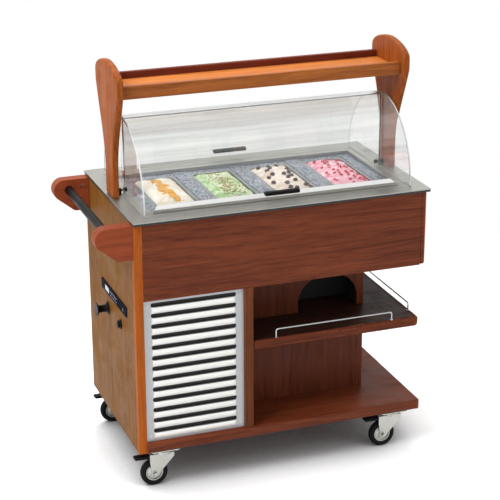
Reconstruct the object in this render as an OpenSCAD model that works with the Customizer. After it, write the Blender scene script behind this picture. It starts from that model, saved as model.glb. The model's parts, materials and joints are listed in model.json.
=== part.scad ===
// Ice cream serving cart: wooden cabinet on swivel casters, refrigerated well with four pans,
// roll-top canopy, cup tray on two shaped posts, push handle and open storage bays.
// Millimetres, +X along the front to the right, +Y to the rear, +Z up, floor at z = 0.

/* [Worktop] */
// Length of the steel worktop
top_len = 1100; // [1060:5:1200]
// Depth of the steel worktop
top_depth = 650; // [640:5:720]
// Thickness of the steel sheet
top_t = 4; // [2:0.5:6]
// Thickness of the black board under the sheet
under_t = 8; // [4:1:14]
// Worktop overhang past the side panel
side_overhang = 2; // [1:1:20]
// Worktop overhang past the front and rear of the cabinet
front_overhang = 12; // [4:1:30]
// Worktop overhang past the right end of the cabinet
right_overhang = 9; // [2:1:30]

/* [Cabinet] */
// Thickness of the left side panel
side_t = 30; // [18:1:40]
// Thickness of the divider beside the machine compartment
divider_t = 32; // [18:1:40]
// Clear width of the machine compartment
machine_w = 367; // [355:1:420]
// Thickness of the base board
base_t = 38; // [30:1:45]
// How far the base board stands out past the cabinet front
base_nose = 9; // [0:1:12]
// Clear height of the lower bay
lower_bay_h = 296; // [280:1:360]
// Thickness of the middle shelf
shelf_t = 36; // [24:1:40]
// How far the middle shelf stops short of the base board on the right
shelf_short = 12; // [4:1:40]
// Clear height of the upper bay
upper_bay_h = 204; // [180:1:260]
// Rounding of the board noses
nose_r = 11; // [4:1:11.5]
// Plan rounding of the free board corners
corner_r = 24; // [14:1:40]

/* [Apron] */
// Height of the apron boards round the refrigerated well
apron_h = 278; // [260:1:340]
// Thickness of the apron boards
apron_t = 20; // [15:1:24]

/* [Bay panels] */
// Thickness of the panels behind and beside the bays
panel_t = 18; // [12:1:22]
// Depth of the bays from the cabinet front to their back panel
bay_depth = 195; // [150:5:240]
// Width of the open end to the right of the bays
end_zone = 153; // [110:1:180]
// Distance from the divider to the arch in the upper bay's back panel
arch_in = 246; // [180:1:250]
// Height of the arch
arch_h = 130; // [110:1:160]
// Corner radius of the arch
arch_r = 95; // [40:1:100]
// Depth of the black recess behind the arch
recess_deep = 100; // [60:5:160]

/* [Grille] */
// Number of louvres
louvre_n = 13; // [8:1:14]
// Depth of the pressed louvres
louvre_out = 7; // [4:0.5:9]
// Height of the slot above each louvre
louvre_slot = 15; // [8:0.5:16]
// Plain margin left and right of the louvres
grille_margin = 28; // [20:1:40]
// How far the grille lies behind the cabinet front
grille_inset = 12; // [10:1:20]
// Thickness of the grille sheet
grille_t = 2; // [1:0.5:3]
// Gap round the grille
grille_gap = 0.3; // [0.2:0.1:1]

/* [Well and pans] */
// Distance from the worktop's ends to the opening of the well
well_end = 92; // [84:1:96]
// Width of the opening to the well
well_wid = 436; // [424:2:460]
// Depth of the well under the worktop
well_depth = 162; // [156:1:175]
// Wall of the well liner
liner_t = 2; // [1:0.5:3]
// Thickness of the insulation round the well
foam_t = 40; // [25:1:44]
// Depth of the pan frame under the worktop surface
frame_drop = 14; // [12:1:30]
// Thickness of the pan frame and of its ledge
frame_t = 2; // [1:0.5:3]
// Number of pans
pan_n = 4; // [4]
// Length of a pan over its rim
pan_len = 360; // [340:5:370]
// Width of a pan over its rim
pan_wid = 165; // [150:1:168]
// Depth of a pan
pan_deep = 120; // [80:5:120]
// Wall of a pan
pan_wall = 1.5; // [1:0.5:2]
// Width of the pan rim
pan_rim = 9; // [6:1:12]
// Room at each end of the well beyond the pans' places
end_room = 14; // [8:1:20]
// Height of the bars between the pans
bar_h = 4; // [3:1:12]
// Depth of the ice cream's surface under the pan rim
cream_drop = 8; // [4:1:20]
// Height of the label strip in front of the well
strip_h = 20; // [12:1:26]

/* [Canopy] */
// Outer radius of the front lid
lid_r = 270; // [255:1:275]
// Wall of the lids' curved sheets
lid_wall = 4; // [3:0.5:5]
// Thickness of the lids' end plates
lid_end_t = 5; // [4:0.5:6]
// Height of the lid pivots over the worktop
pivot_up = 16; // [15:1:24]
// Diameter of the lid pivot pins
pivot_d = 8; // [6:0.5:10]
// Height of the lid handles over the worktop
lid_grip_up = 36; // [32:1:50]
// Length of the lid handles
lid_grip_len = 128; // [100:2:180]

/* [Cup tray and posts] */
// Height of the posts over the worktop
post_h = 486; // [460:2:560]
// Thickness of the posts
post_t = 24; // [18:1:28]
// Width of the posts at the foot
post_foot_w = 94; // [80:2:130]
// Width of the posts at the head
post_head_w = 286; // [240:2:320]
// Height of the tray rails' lower edge over the worktop
tray_up = 369; // [355:1:380]
// Depth of the tray over its rails
tray_depth = 224; // [170:2:236]
// Thickness of the tray rails
rail_t = 18; // [12:1:22]
// Height of the tray rails
rail_h = 46; // [40:1:60]
// Thickness of the tray board
tray_t = 16; // [10:1:20]

/* [Push handle] */
// Length of the handle brackets
bracket_len = 132; // [126:2:150]
// Thickness of the handle brackets
bracket_t = 45; // [34:1:55]
// Diameter of the handle bar
grip_d = 30; // [24:1:34]
// Distance from the side panel to the bar's centre
grip_out = 75; // [70:1:84]

/* [Casters] */
// Height of the casters from the floor to the base board
caster_h = 145; // [138:1:155]
// Wheel diameter
wheel_d = 100; // [90:1:104]
// Wheel width
wheel_w = 24; // [18:1:26]
// Distance the wheel trails behind its swivel axis
trail = 36; // [28:1:40]
// Diameter of the wheel axles
axle_d = 10; // [8:0.5:12]
// Diameter of the swivel pins
kingpin_d = 12; // [10:0.5:14]

/* [Hidden] */
$fn = 64;
// Clearances: running fit of pins, resting gap, gap between curved faces of one body
fit_gap = 0.05;
rest_gap = 0.3;
seat_gap = 0.2;

// Heights
z_base = caster_h;
z_bay = z_base + base_t;
z_shelf = z_bay + lower_bay_h;
z_upper = z_shelf + shelf_t;
z_apron = z_upper + upper_bay_h;
z_under = z_apron + apron_h;
z_sheet = z_under + under_t;
z_top = z_sheet + top_t;

// Places along the front, measured from the worktop's middle
x_out = -top_len / 2 + side_overhang;
x_in = x_out + side_t;
x_div = x_in + machine_w;
x_bay = x_div + divider_t;
x_right = top_len / 2 - right_overhang;
x_shelf = x_right - shelf_short;
x_side = x_right - end_zone;
y_cab = top_depth / 2 - front_overhang;
y_base = y_cab + base_nose;
y_back = -y_cab + bay_depth;
x_arch = [x_bay + arch_in, x_side - panel_t - 8];

// The frame's origin is the middle of the footprint, handle brackets included
x_shift = -(x_out - bracket_len + top_len / 2) / 2;

// Well
well_len = top_len - 2 * well_end;
well_floor = z_sheet - well_depth;
liner_len = well_len + 2 * liner_t;
liner_wid = well_wid + 2 * liner_t;
z_frame = z_top - frame_drop;
ledge_w = 18;
pipe_r = 4;
foam_floor = well_floor - liner_t - 2 * pipe_r - 2 * rest_gap;
z_foam = foam_floor - foam_t + 8;
run_n = 6;
run_pitch = 60;
run_end = 78;
run_len = well_len - 2 * run_end;
low_line = 30;
pan_pitch = (well_len - 2 * end_room) / pan_n;
pan_floor = z_frame - pan_deep;
pan_gap = 2;
pan_body_l = pan_len - 2 * pan_rim;
pan_body_w = pan_wid - 2 * pan_rim;
pan_corner = 22;
strip_gap = 2;
strip_run = 25;
strip_toe = 3;

// Canopy
z_pivot = z_top + pivot_up;
lid_clear = 2;
ear_r = pivot_up - lid_clear;
lid_step = 3;
rear_r = lid_r - lid_wall - lid_step;
post_x = top_len / 2 - right_overhang;
bracket_x = post_x - post_t - 17;
lid_half = bracket_x - 4;
lid_open = 80;
front_start = 4;
rear_over = 16;
over_up = (rear_over * sin(lid_open) - ear_r) / cos(lid_open) + lid_clear;
rear_half = lid_half - lid_end_t - 2;
grip_tall = 13;
grip_deep = 20;

// Push handle
grip_up = 52;
bar_end = 29;
bracket_drop = top_t + under_t;
bracket_tall = 121;
bracket_y = y_cab - 1 - bracket_t;
screw_out = 24;
screw_down = 38;
screw_hole_d = 13;

// Control strip, cord cleat and cable inlet on the left face
strip_len = 326;
strip_tall = 38;
strip_t = 4;
strip_y = -46;
strip_z = z_top - 364;
button_in = 34;
button_y = strip_y - strip_len / 2 + button_in;
window_in = 44;
window_len = 48;
window_tall = 18;
button_r = 7;
button_travel = 2;
cleat_y = 48;
cleat_z = z_top - 442;
gland_y = -120;
gland_z = z_top - 440;
gland_r = 12;
gland_bore_r = 4.5;

// Galleries of the middle shelf
wire_d = 6;
gallery_h = 30;
gallery_inset = 11;

// Casters
caster_in_l = 98;
caster_in_r = 102;
caster_in_y = 48;
caster_x = [x_out + caster_in_l, x_right - caster_in_r];
caster_y = [-(y_base - caster_in_y), y_base - caster_in_y];
wheel_r = wheel_d / 2;
plate_t = 3;
plate_l = 105;
plate_w = 85;
bolt_l = 80;
bolt_w = 60;
bolt_r = 4;
fork_top = caster_h - 14;
fork_t = 3;
fork_in = wheel_w / 2 + 3;
ring_t = 10;
race_r = 24;
rim_r = wheel_r - 18;

// Machine compartment
cond_w = 290;
cond_h = 278;
cond_d = 40;
cond_x = (x_in + x_div) / 2;
cond_y = -y_cab + grille_inset + 33;
shroud_t = 6;
fan_r = 106;
ring_r = fan_r + 6;
fan_z = z_bay + 142;
fan_y = cond_y + cond_d;
shaft_r = 4;
motor_r = 32;
motor_len = 60;
duct_d = 28;
comp_r = 80;
comp_y = 110;
comp_z = z_bay + 18;
comp_h = 190;
comp_foot_l = 90;
comp_foot_w = 75;
damper_in = 15;
damper_r = 13;

WOOD = [0.50, 0.25, 0.14];
OAK = [0.70, 0.42, 0.20];
STEEL = [0.72, 0.74, 0.74];
BLACK = [0.08, 0.08, 0.09];
ZINC = [0.75, 0.76, 0.78];
CLEAR = [0.85, 0.92, 0.95, 0.35];
FLAVOURS = ["cornsilk", "palegreen", "linen", "lightpink"];

// Moves a piece from the worktop's middle to the frame of the whole cart
module place() { translate([x_shift, 0, 0]) children(); }

// Box between two corners
module box(a, b) { translate(a) cube(b - a); }

// Cylinder along X from one x to another
module rod_x(r, x0, x1, y, z) {
    translate([min(x0, x1), y, z]) rotate([0, 90, 0]) cylinder(r = r, h = abs(x1 - x0));
}

// Cylinder along Y from one y to another
module rod_y(r, y0, y1, x, z) {
    translate([x, max(y0, y1), z]) rotate([90, 0, 0]) cylinder(r = r, h = abs(y1 - y0));
}

// Flat outline in X and Z, made thick along Y
module slice_y(y0, y1) {
    translate([0, y1, 0]) rotate([90, 0, 0]) linear_extrude(y1 - y0) children();
}

// Flat outline in Y and Z, made thick along X
module slice_x(x0, x1) {
    translate([x0, 0, 0]) rotate([90, 0, 90]) linear_extrude(x1 - x0) children();
}

// Rectangle from corner to corner with rounded corners
module round_rect(a, b, r) {
    d = b - a;
    translate(a) {
        translate([r, 0]) square([d[0] - 2 * r, d[1]]);
        translate([0, r]) square([d[0], d[1] - 2 * r]);
        for (x = [r, d[0] - r], y = [r, d[1] - r]) translate([x, y]) circle(r);
    }
}

// Upright prism on a rounded rectangle centred on the axis
module round_box(l, w, r, z0, z1) {
    translate([0, 0, z0]) linear_extrude(z1 - z0) round_rect([-l / 2, -w / 2], [l / 2, w / 2], r);
}

// Shelf board with rounded noses in front, behind and on the right, square on the left
module shelf_board(x0, x1, y, z0, z1) {
    spare = 60;
    intersection() {
        slice_x(x0, x1) round_rect([-y, z0], [y, z1], nose_r);
        slice_y(-y, y) round_rect([x0 - spare, z0], [x1, z1], nose_r);
        translate([0, 0, z0]) linear_extrude(z1 - z0)
            round_rect([x0 - spare, -y], [x1, y], corner_r);
    }
}

// Repeats a piece at every caster
module at_casters() {
    for (x = caster_x, y = caster_y) translate([x, y, 0]) children();
}

// Repeats a piece at the four bolts of one caster plate
module at_bolts() {
    for (x = [-bolt_l / 2, bolt_l / 2], y = [-bolt_w / 2, bolt_w / 2])
        translate([x, y, 0]) children();
}

// Cabinet boards

module side_panel() color(OAK) difference() {
    box([x_out, -y_cab, z_base], [x_in, y_cab, z_under]);
    // Pocket behind the power button and hole for the cable inlet
    rod_x(button_r + 4, x_out - 1, x_out + 10, button_y, strip_z);
    rod_x(gland_r + fit_gap, x_out - 1, x_in + 1, gland_y, gland_z);
    // Screw holes of the handle brackets
    for (s = [-1, 1])
        rod_x(2, x_out - 1, x_out + 20, s * (bracket_y + bracket_t / 2), z_top - screw_down);
}

module divider_panel() color(WOOD) {
    box([x_div, -y_cab, z_bay], [x_bay, y_cab, z_apron]);
    box([x_div, -y_cab + apron_t, z_apron], [x_bay, y_cab - apron_t, z_foam]);
}

module base_board() color(WOOD) difference() {
    shelf_board(x_in, x_right, y_base, z_base, z_bay);
    at_casters() at_bolts() translate([0, 0, z_base - 1]) cylinder(r = bolt_r, h = 21);
}

module mid_shelf() color(WOOD) shelf_board(x_bay, x_shelf, y_cab, z_shelf, z_upper);

module apron_front() color(WOOD)
    box([x_in, -y_cab, z_apron], [x_right - apron_t, -y_cab + apron_t, z_under]);

module apron_rear() color(WOOD)
    box([x_in, y_cab - apron_t, z_apron], [x_right - apron_t, y_cab, z_under]);

module apron_right() color(OAK) slice_x(x_right - apron_t, x_right) {
    // Lower corners rounded, upper corners square under the worktop
    round_rect([-y_cab, z_apron], [y_cab, z_under], nose_r);
    translate([-y_cab, z_under - 2 * nose_r]) square([2 * y_cab, 2 * nose_r]);
}

// Panels that close the cabinet behind the machine compartment and the bays
module rear_panels() {
    slot_n = 6;
    slot_tall = 10;
    y0 = y_cab - 2 - panel_t;
    y1 = y_cab - 2;
    color(WOOD) {
        difference() {
            box([x_in, y0, z_bay], [x_div, y1, z_apron]);
            // Air outlet slots
            for (i = [0 : slot_n - 1])
                slice_y(y0 - 1, y1 + 1)
                    round_rect([x_in + 60, z_bay + 80 + i * 30],
                               [x_div - 60, z_bay + 80 + i * 30 + slot_tall],
                               slot_tall / 2 - 0.1);
        }
        box([x_bay, y0, z_bay], [x_side, y1, z_shelf]);
        box([x_bay, y0, z_upper], [x_side, y1, z_apron]);
    }
}

module bay_side_panel() color(WOOD) {
    y1 = y_cab - 2 - panel_t;
    box([x_side - panel_t, y_back, z_bay], [x_side, y1, z_shelf]);
    box([x_side - panel_t, y_back, z_upper], [x_side, y1, z_foam]);
}

// Back of the bays, with the arch that opens the upper bay to the recess
module bay_back_panel() color(OAK) {
    x1 = x_side - panel_t;
    box([x_bay, y_back, z_bay], [x1, y_back + panel_t, z_shelf]);
    difference() {
        box([x_bay, y_back, z_upper], [x1, y_back + panel_t, z_foam]);
        slice_y(y_back - 1, y_back + panel_t + 1) {
            translate([x_arch[0], z_upper - 1])
                square([x_arch[1] - x_arch[0], arch_h + 1 - arch_r]);
            translate([x_arch[0] + arch_r, z_upper - 1])
                square([x_arch[1] - x_arch[0] - 2 * arch_r, arch_h + 1]);
            for (x = [x_arch[0] + arch_r, x_arch[1] - arch_r])
                translate([x, z_upper + arch_h - arch_r]) circle(arch_r);
        }
    }
}

// Black lining of the recess, open in front and below
module recess_liner() {
    y0 = y_back + panel_t;
    wall = 3;
    color(BLACK) difference() {
        box([x_arch[0] - 2 * wall, y0, z_upper],
            [x_arch[1] + 2 * wall, y0 + recess_deep, z_upper + arch_h + 2 * wall]);
        box([x_arch[0] - wall, y0 - 1, z_upper - 1],
            [x_arch[1] + wall, y0 + recess_deep - wall, z_upper + arch_h + wall]);
    }
}

// Front grille: a sheet with returned sides and pressed louvres, open above each bulge
module grille() {
    y0 = -y_cab + grille_inset;
    x0 = x_in + grille_gap;
    x1 = x_div - grille_gap;
    z0 = z_bay + grille_gap;
    z1 = z_apron - grille_gap;
    pitch = (z1 - z0 - 20) / louvre_n;
    bulge = pitch - louvre_slot - 4;
    xa = x0 + grille_margin;
    xb = x1 - grille_margin;
    color("gainsboro") {
        difference() {
            union() {
                box([x0, y0, z0], [x1, y0 + grille_t, z1]);
                for (i = [0 : louvre_n - 1])
                    slice_x(xa, xb) translate([y0, z0 + 12 + i * pitch])
                        intersection() {
                            translate([grille_t / 2, bulge / 2])
                                circle(bulge / 2 + 0.01);
                            translate([-louvre_out, 0])
                                square([louvre_out + grille_t, bulge]);
                        }
            }
            for (i = [0 : louvre_n - 1])
                slice_y(y0 - 1, y0 + grille_t + 1)
                    round_rect([xa, z0 + 12 + bulge + i * pitch],
                               [xb, z0 + 12 + bulge + louvre_slot + i * pitch],
                               louvre_slot / 2 - 0.1);
        }
        for (x = [x0, x1 - grille_t])
            box([x, y0, z0], [x + grille_t, y0 + 18, z1]);
    }
}

// Worktop, well and pans

module worktop() color(STEEL) difference() {
    box([-top_len / 2, -top_depth / 2, z_sheet], [top_len / 2, top_depth / 2, z_top]);
    round_box(well_len, well_wid, 6, z_sheet - 1, z_top + 1);
}

module worktop_board() color(BLACK) difference() {
    box([-top_len / 2 + 1, -top_depth / 2 + 1, z_under],
        [top_len / 2 - 1, top_depth / 2 - 1, z_sheet]);
    round_box(liner_len + 2, liner_wid + 2, 9, z_under - 1, z_sheet + 1);
}

module well_liner() color(STEEL) {
    difference() {
        round_box(liner_len, liner_wid, 8, well_floor - liner_t, z_sheet);
        round_box(well_len, well_wid, 6, well_floor, z_sheet + 1);
    }
    // Ledge that carries the pan frame
    difference() {
        round_box(well_len + liner_t, well_wid + liner_t, 7, z_frame - 2 * frame_t,
            z_frame - frame_t);
        round_box(well_len - 2 * ledge_w, well_wid - 2 * ledge_w, 6, z_frame - 3 * frame_t,
            z_frame);
    }
}

module well_insulation() color("khaki") difference() {
    box([-liner_len / 2 - foam_t, -liner_wid / 2 - foam_t, z_foam],
        [liner_len / 2 + foam_t, liner_wid / 2 + foam_t, z_under]);
    round_box(liner_len, liner_wid, 8, well_floor - liner_t, z_under + 1);
    // Recess for the evaporator pipes under the liner, and the two pipe passages
    box([-run_len / 2 - 50, -run_n * run_pitch / 2 - 10, foam_floor],
        [run_len / 2 + 50, run_n * run_pitch / 2 + 10, well_floor]);
    for (p = riser_xy) translate([p[0], p[1], z_foam - 1]) cylinder(r = pipe_r + 1, h = foam_t);
}

// Where the two pipes come up through the insulation
riser_xy = [for (s = [-1, 1]) [-run_len / 2 - 30, s * (run_n - 1) * run_pitch / 2]];

// Pipe run through a list of points, round at its bends
module pipe(points) {
    for (i = [0 : len(points) - 2]) {
        d = points[i + 1] - points[i];
        flat = norm([d[0], d[1]]);
        translate(points[i]) rotate([0, atan2(flat, d[2]), atan2(d[1], d[0])])
            cylinder(r = pipe_r, h = norm(d), $fn = 24);
        if (i > 0) translate(points[i]) sphere(pipe_r, $fn = 24);
    }
}

// Evaporator coil under the liner, with its lines to the condenser and the compressor
module refrigerant_circuit() {
    zc = foam_floor + rest_gap + pipe_r;
    x_run = run_len / 2;
    y_run = (run_n - 1) * run_pitch / 2;
    z_low = z_foam - low_line;
    x_riser = riser_xy[0][0];
    // The condenser's two connections stand at its left and right ends
    x_liquid = cond_x - cond_w / 2 + 12;
    x_hot = cond_x + cond_w / 2 - 12;
    y_cond = cond_y + cond_d / 2;
    z_cond = z_bay + cond_h;
    y_suction = comp_y + 30;
    y_hot = comp_y - 30;
    z_comp = comp_z + comp_h;
    z_hot = max(z_comp, z_cond) + 40;
    color("peru") {
        for (i = [0 : run_n - 1])
            rod_x(pipe_r, -x_run, x_run, i * run_pitch - y_run, zc, $fn = 24);
        for (i = [0 : run_n - 2])
            translate([(i % 2 == 0 ? 1 : -1) * x_run, (i + 0.5) * run_pitch - y_run, zc])
                rotate([0, 0, i % 2 == 0 ? -90 : 90]) rotate_extrude(angle = 180, $fn = 48)
                    translate([run_pitch / 2, 0]) circle(pipe_r, $fn = 24);
        // Liquid line from the condenser to the front run
        pipe([[-x_run, -y_run, zc], [x_riser, -y_run, zc], [x_riser, -y_run, z_low],
              [x_liquid, y_cond, z_low], [x_liquid, y_cond, z_cond]]);
        // Suction line from the rear run to the compressor
        pipe([[-x_run, y_run, zc], [x_riser, y_run, zc], [x_riser, y_run, z_low],
              [cond_x, y_suction, z_low], [cond_x, y_suction, z_comp]]);
        // Hot gas line from the compressor to the condenser
        pipe([[cond_x, y_hot, z_comp], [cond_x, y_hot, z_hot], [x_hot, y_cond, z_hot],
              [x_hot, y_cond, z_cond]]);
    }
}

// Middle of pan number i
function pan_x(i) = (i - (pan_n + 1) / 2) * pan_pitch;

// Cooled frame that carries the pans, with raised bars between and beside them
module pan_frame() color("slategray") {
    w = pan_pitch - pan_wid - 2 * pan_gap;
    y = well_wid / 2 - 6;
    x_pan = pan_x(pan_n) + pan_wid / 2 + pan_gap;
    difference() {
        round_box(well_len - 3, well_wid - 3, 5, z_frame - frame_t, z_frame);
        for (i = [1 : pan_n]) translate([pan_x(i), 0, 0])
            round_box(pan_body_w + 2 * pan_gap, pan_body_l + 2 * pan_gap,
                pan_corner + pan_gap, z_frame - frame_t - 1, z_frame + 1);
    }
    for (i = [1 : pan_n - 1]) translate([pan_x(i) + pan_pitch / 2, 0, 0])
        box([-w / 2, -y, z_frame - 0.5], [w / 2, y, z_frame + bar_h]);
    for (s = [0, 1]) mirror([s, 0, 0])
        box([x_pan, -y, z_frame - 0.5], [well_len / 2 - 4, y, z_frame + bar_h]);
}

module pan(i) translate([pan_x(i), 0, 0]) color("silver") {
    difference() {
        union() {
            round_box(pan_wid, pan_len, 12, z_frame, z_frame + frame_t);
            round_box(pan_body_w, pan_body_l, pan_corner, pan_floor, z_frame + frame_t);
        }
        round_box(pan_body_w - 2 * pan_wall, pan_body_l - 2 * pan_wall, pan_corner - pan_wall,
            pan_floor + pan_wall, z_frame + frame_t + 1);
    }
}

module ice_cream(i) {
    inset = pan_wall + seat_gap;
    z0 = pan_floor + pan_wall;
    color(FLAVOURS[i - 1]) translate([pan_x(i), 0, 0])
        round_box(pan_body_w - 2 * inset, pan_body_l - 2 * inset, pan_corner - inset, z0,
            z_frame - cream_drop);
}

// White label rail along the front edge of the well, sloping up to it, with mitred ends
module label_strip() {
    y1 = -well_wid / 2 - strip_gap;
    y0 = y1 - strip_run;
    x_end = well_len / 2 - strip_toe;
    color("white") difference() {
        slice_x(-x_end, x_end)
            polygon([[y0, z_top], [y1, z_top], [y1, z_top + strip_h],
                     [y1 - strip_toe, z_top + strip_h], [y0, z_top + strip_toe]]);
        for (s = [0, 1]) mirror([s, 0, 0])
            translate([well_len / 2, y0, z_top - 1]) rotate([0, 0, 45])
                cube([2 * strip_run, 2 * strip_run, strip_h + 2]);
    }
}

// Canopy

// Curved sheet with quarter-round end plates, open below and towards its free edge. It starts
// y_start from the pivot and reaches y_over past it, there only so high that it turns down
// clear of the worktop as the lid opens.
module lid(r, half, side, y_start, y_over) {
    far = 2 * (r + half);
    color(CLEAR) difference() {
        union() {
            intersection() {
                difference() {
                    rod_x(r, -half, half, 0, z_pivot, $fn = 128);
                    rod_x(r - lid_wall, -half + lid_end_t, half - lid_end_t, 0, z_pivot,
                        $fn = 128);
                }
                mirror([0, side < 0 ? 1 : 0, 0]) {
                    box([-far, y_start, z_top + lid_clear], [far, far, z_top + far]);
                    box([-far, -y_over, z_pivot + over_up], [far, y_start + 1, z_top + far]);
                }
            }
            for (x = [-half, half - lid_end_t])
                rod_x(ear_r, x, x + lid_end_t, 0, z_pivot);
        }
        rod_x(pivot_d / 2 + fit_gap, -far, far, 0, z_pivot);
    }
}

module front_lid() lid(lid_r, lid_half, -1, front_start, -front_start);

module rear_lid() lid(rear_r, rear_half, 1, 0, rear_over);

// Black grip on the outside of a lid, cut to the curve of the sheet
module lid_grip(r, side) {
    z0 = z_top + lid_grip_up - grip_tall / 2;
    y_far = r + grip_deep;
    color(BLACK) difference() {
        slice_x(-lid_grip_len / 2, lid_grip_len / 2)
            translate([side < 0 ? -y_far : r - 12, z0])
                round_rect([0, 0], [grip_deep + 12, grip_tall], 4);
        rod_x(r + seat_gap, -lid_grip_len, lid_grip_len, 0, z_pivot, $fn = 128);
    }
}

module front_lid_handle() lid_grip(lid_r, -1);

module rear_lid_handle() lid_grip(rear_r, 1);

// Brackets on the worktop with the pins on which both lids turn
module canopy_pivots() color(ZINC) for (s = [0, 1]) mirror([s, 0, 0]) {
    cheek = 8;
    box([bracket_x, -cheek, z_top], [bracket_x + cheek, cheek, z_pivot]);
    rod_x(cheek, bracket_x, bracket_x + cheek, 0, z_pivot);
    rod_x(cheek - 1, bracket_x + cheek, bracket_x + cheek + 6, 0, z_pivot);
    rod_x(pivot_d / 2, rear_half - lid_end_t - 1, bracket_x + 1, 0, z_pivot);
    // Head that keeps the lids on the pin
    rod_x(cheek, rear_half - lid_end_t - 9, rear_half - lid_end_t - 1, 0, z_pivot);
}

// Posts and cup tray

// Half width of a post at a height over the worktop
function post_half(h) =
    let (swell0 = 110, swell1 = post_h - 96, crown = post_h - 56,
         foot = post_foot_w / 2, head = post_head_w / 2,
         t = min(max((h - swell0) / (swell1 - swell0), 0), 1),
         c = min(max((h - crown) / (post_h - crown), 0), 1))
    h > crown ? head * (1 - pow(c, 1.4))
              : foot + (head - foot) * (0.15 * t + 1.7 * t * t - 0.85 * t * t * t);

module posts() {
    steps = 48;
    heights = [for (i = [0 : steps]) post_h * i / steps];
    edge = [for (h = heights) [max(post_half(h), 9), h]];
    color(OAK) for (x = [-post_x, post_x - post_t])
        slice_x(x, x + post_t) translate([0, z_top])
            polygon(concat(edge, [for (i = [steps : -1 : 0]) [-edge[i][0], edge[i][1]]]));
}

module tray_board() {
    y = tray_depth / 2 - rail_t;
    z0 = z_top + tray_up + 6;
    color("sandybrown")
        box([-post_x + post_t, -y, z0], [post_x - post_t, y, z0 + tray_t]);
}

module tray_rails() color(OAK) for (s = [0, 1]) mirror([0, s, 0])
    slice_x(-post_x + post_t, post_x - post_t)
        round_rect([-tray_depth / 2, z_top + tray_up],
                   [-tray_depth / 2 + rail_t, z_top + tray_up + rail_h], 3);

// Push handle

// Outline of a handle bracket, from the panel outwards and down from the worktop
module bracket_outline() {
    end_r = 40;
    foot_r = 22;
    hull() {
        translate([x_out - bracket_len + end_r, z_top - bracket_drop - end_r])
            circle(end_r, $fn = 48);
        translate([x_out - 48, z_top - bracket_drop - bracket_tall + foot_r]) circle(foot_r, $fn = 32);
        translate([x_out - 10, z_top - bracket_drop - bracket_tall]) square([10, bracket_tall]);
    }
}

module handle_brackets() color([0.65, 0.36, 0.22]) for (s = [0, 1]) mirror([0, s, 0])
    difference() {
        slice_y(bracket_y, bracket_y + bracket_t) bracket_outline();
        rod_y(grip_d / 2 + seat_gap / 2, bracket_y - 1, bracket_y + 30, x_out - grip_out,
            z_top - grip_up);
        // Sunk screw that holds the bracket to the panel
        rod_y(screw_hole_d / 2, bracket_y - 1, bracket_y + 12, x_out - screw_out,
            z_top - screw_down);
    }

module handle_bar() color(BLACK)
    rod_y(grip_d / 2, -bracket_y - bar_end, bracket_y + bar_end, x_out - grip_out, z_top - grip_up);

// Control strip, cleat and cable inlet

module control_panel() color(BLACK) {
    difference() {
        slice_x(x_out - strip_t, x_out)
            round_rect([strip_y - strip_len / 2, strip_z - strip_tall / 2],
                       [strip_y + strip_len / 2, strip_z + strip_tall / 2], 5);
        rod_x(button_r + 2 * fit_gap, x_out - strip_t - 1, x_out + 1, button_y, strip_z);
    }
    // Window of the temperature display
    slice_x(x_out - strip_t - 1, x_out - strip_t)
        round_rect([strip_y + window_in, strip_z - window_tall / 2],
                   [strip_y + window_in + window_len, strip_z + window_tall / 2], 2);
}

module power_button() color("green") {
    rod_x(button_r, x_out - strip_t - 3, x_out + 3, button_y, strip_z);
    rod_x(button_r + 2, x_out + rest_gap, x_out + 3, button_y, strip_z);
}

module cord_cleat() color(BLACK) translate([x_out, cleat_y, cleat_z]) rotate([0, -90, 0])
    rotate_extrude()
        polygon([[0, 0], [24, 0], [24, 3], [15, 9], [13, 16], [13, 32], [17, 39], [26, 43],
                 [26, 46], [0, 46]]);

module cable_gland() color(BLACK) difference() {
    union() {
        rod_x(17, x_out - 6, x_out, gland_y, gland_z);
        rod_x(13, x_out - 14, x_out - 6, gland_y, gland_z);
        rod_x(gland_r, x_out, x_in + 4, gland_y, gland_z);
    }
    rod_x(gland_bore_r, x_out - 15, x_in + 5, gland_y, gland_z);
}

// Wire galleries on the middle shelf: one along the front and one along the right end
module gallery_wire(length) {
    bend = 9;
    leg = gallery_h - bend;
    half = length / 2;
    for (s = [-1, 1]) {
        translate([s * half, 0, 0]) cylinder(r = wire_d / 2, h = leg, $fn = 24);
        translate([s * half, 0, 0]) cylinder(r = wire_d, h = 2, $fn = 24);
        translate([s * (half - bend), 0, leg]) rotate([90, 0, 0])
            rotate([0, 0, s > 0 ? 0 : 90]) rotate_extrude(angle = 90, $fn = 48)
                translate([bend, 0]) circle(wire_d / 2, $fn = 24);
    }
    rod_x(wire_d / 2, -half + bend, half - bend, 0, gallery_h, $fn = 24);
}

module gallery_rails() color("whitesmoke") {
    front_len = 450;
    side_len = 480;
    translate([(x_bay + x_shelf) / 2 - 10, -y_cab + gallery_inset, z_upper])
        gallery_wire(front_len);
    translate([x_shelf - gallery_inset - 3, 0, z_upper]) rotate([0, 0, 90])
        gallery_wire(side_len);
}

// Casters

// Top plates with their swivel bosses and kingpins, bolted under the base board
module caster_plates() color(ZINC) at_casters() {
    difference() {
        translate([0, 0, z_base - plate_t]) linear_extrude(plate_t)
            round_rect([-plate_l / 2, -plate_w / 2], [plate_l / 2, plate_w / 2], 8);
        at_bolts() translate([0, 0, z_base - plate_t - 1]) cylinder(r = bolt_r, h = plate_t + 2);
    }
    translate([0, 0, fork_top + rest_gap]) cylinder(r = race_r, h = z_base - plate_t - fork_top);
    translate([0, 0, fork_top - ring_t - 4]) cylinder(r = kingpin_d / 2, h = ring_t + 8);
    translate([0, 0, fork_top - ring_t - rest_gap - 5]) cylinder(r = 9, h = 5);
}

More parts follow.
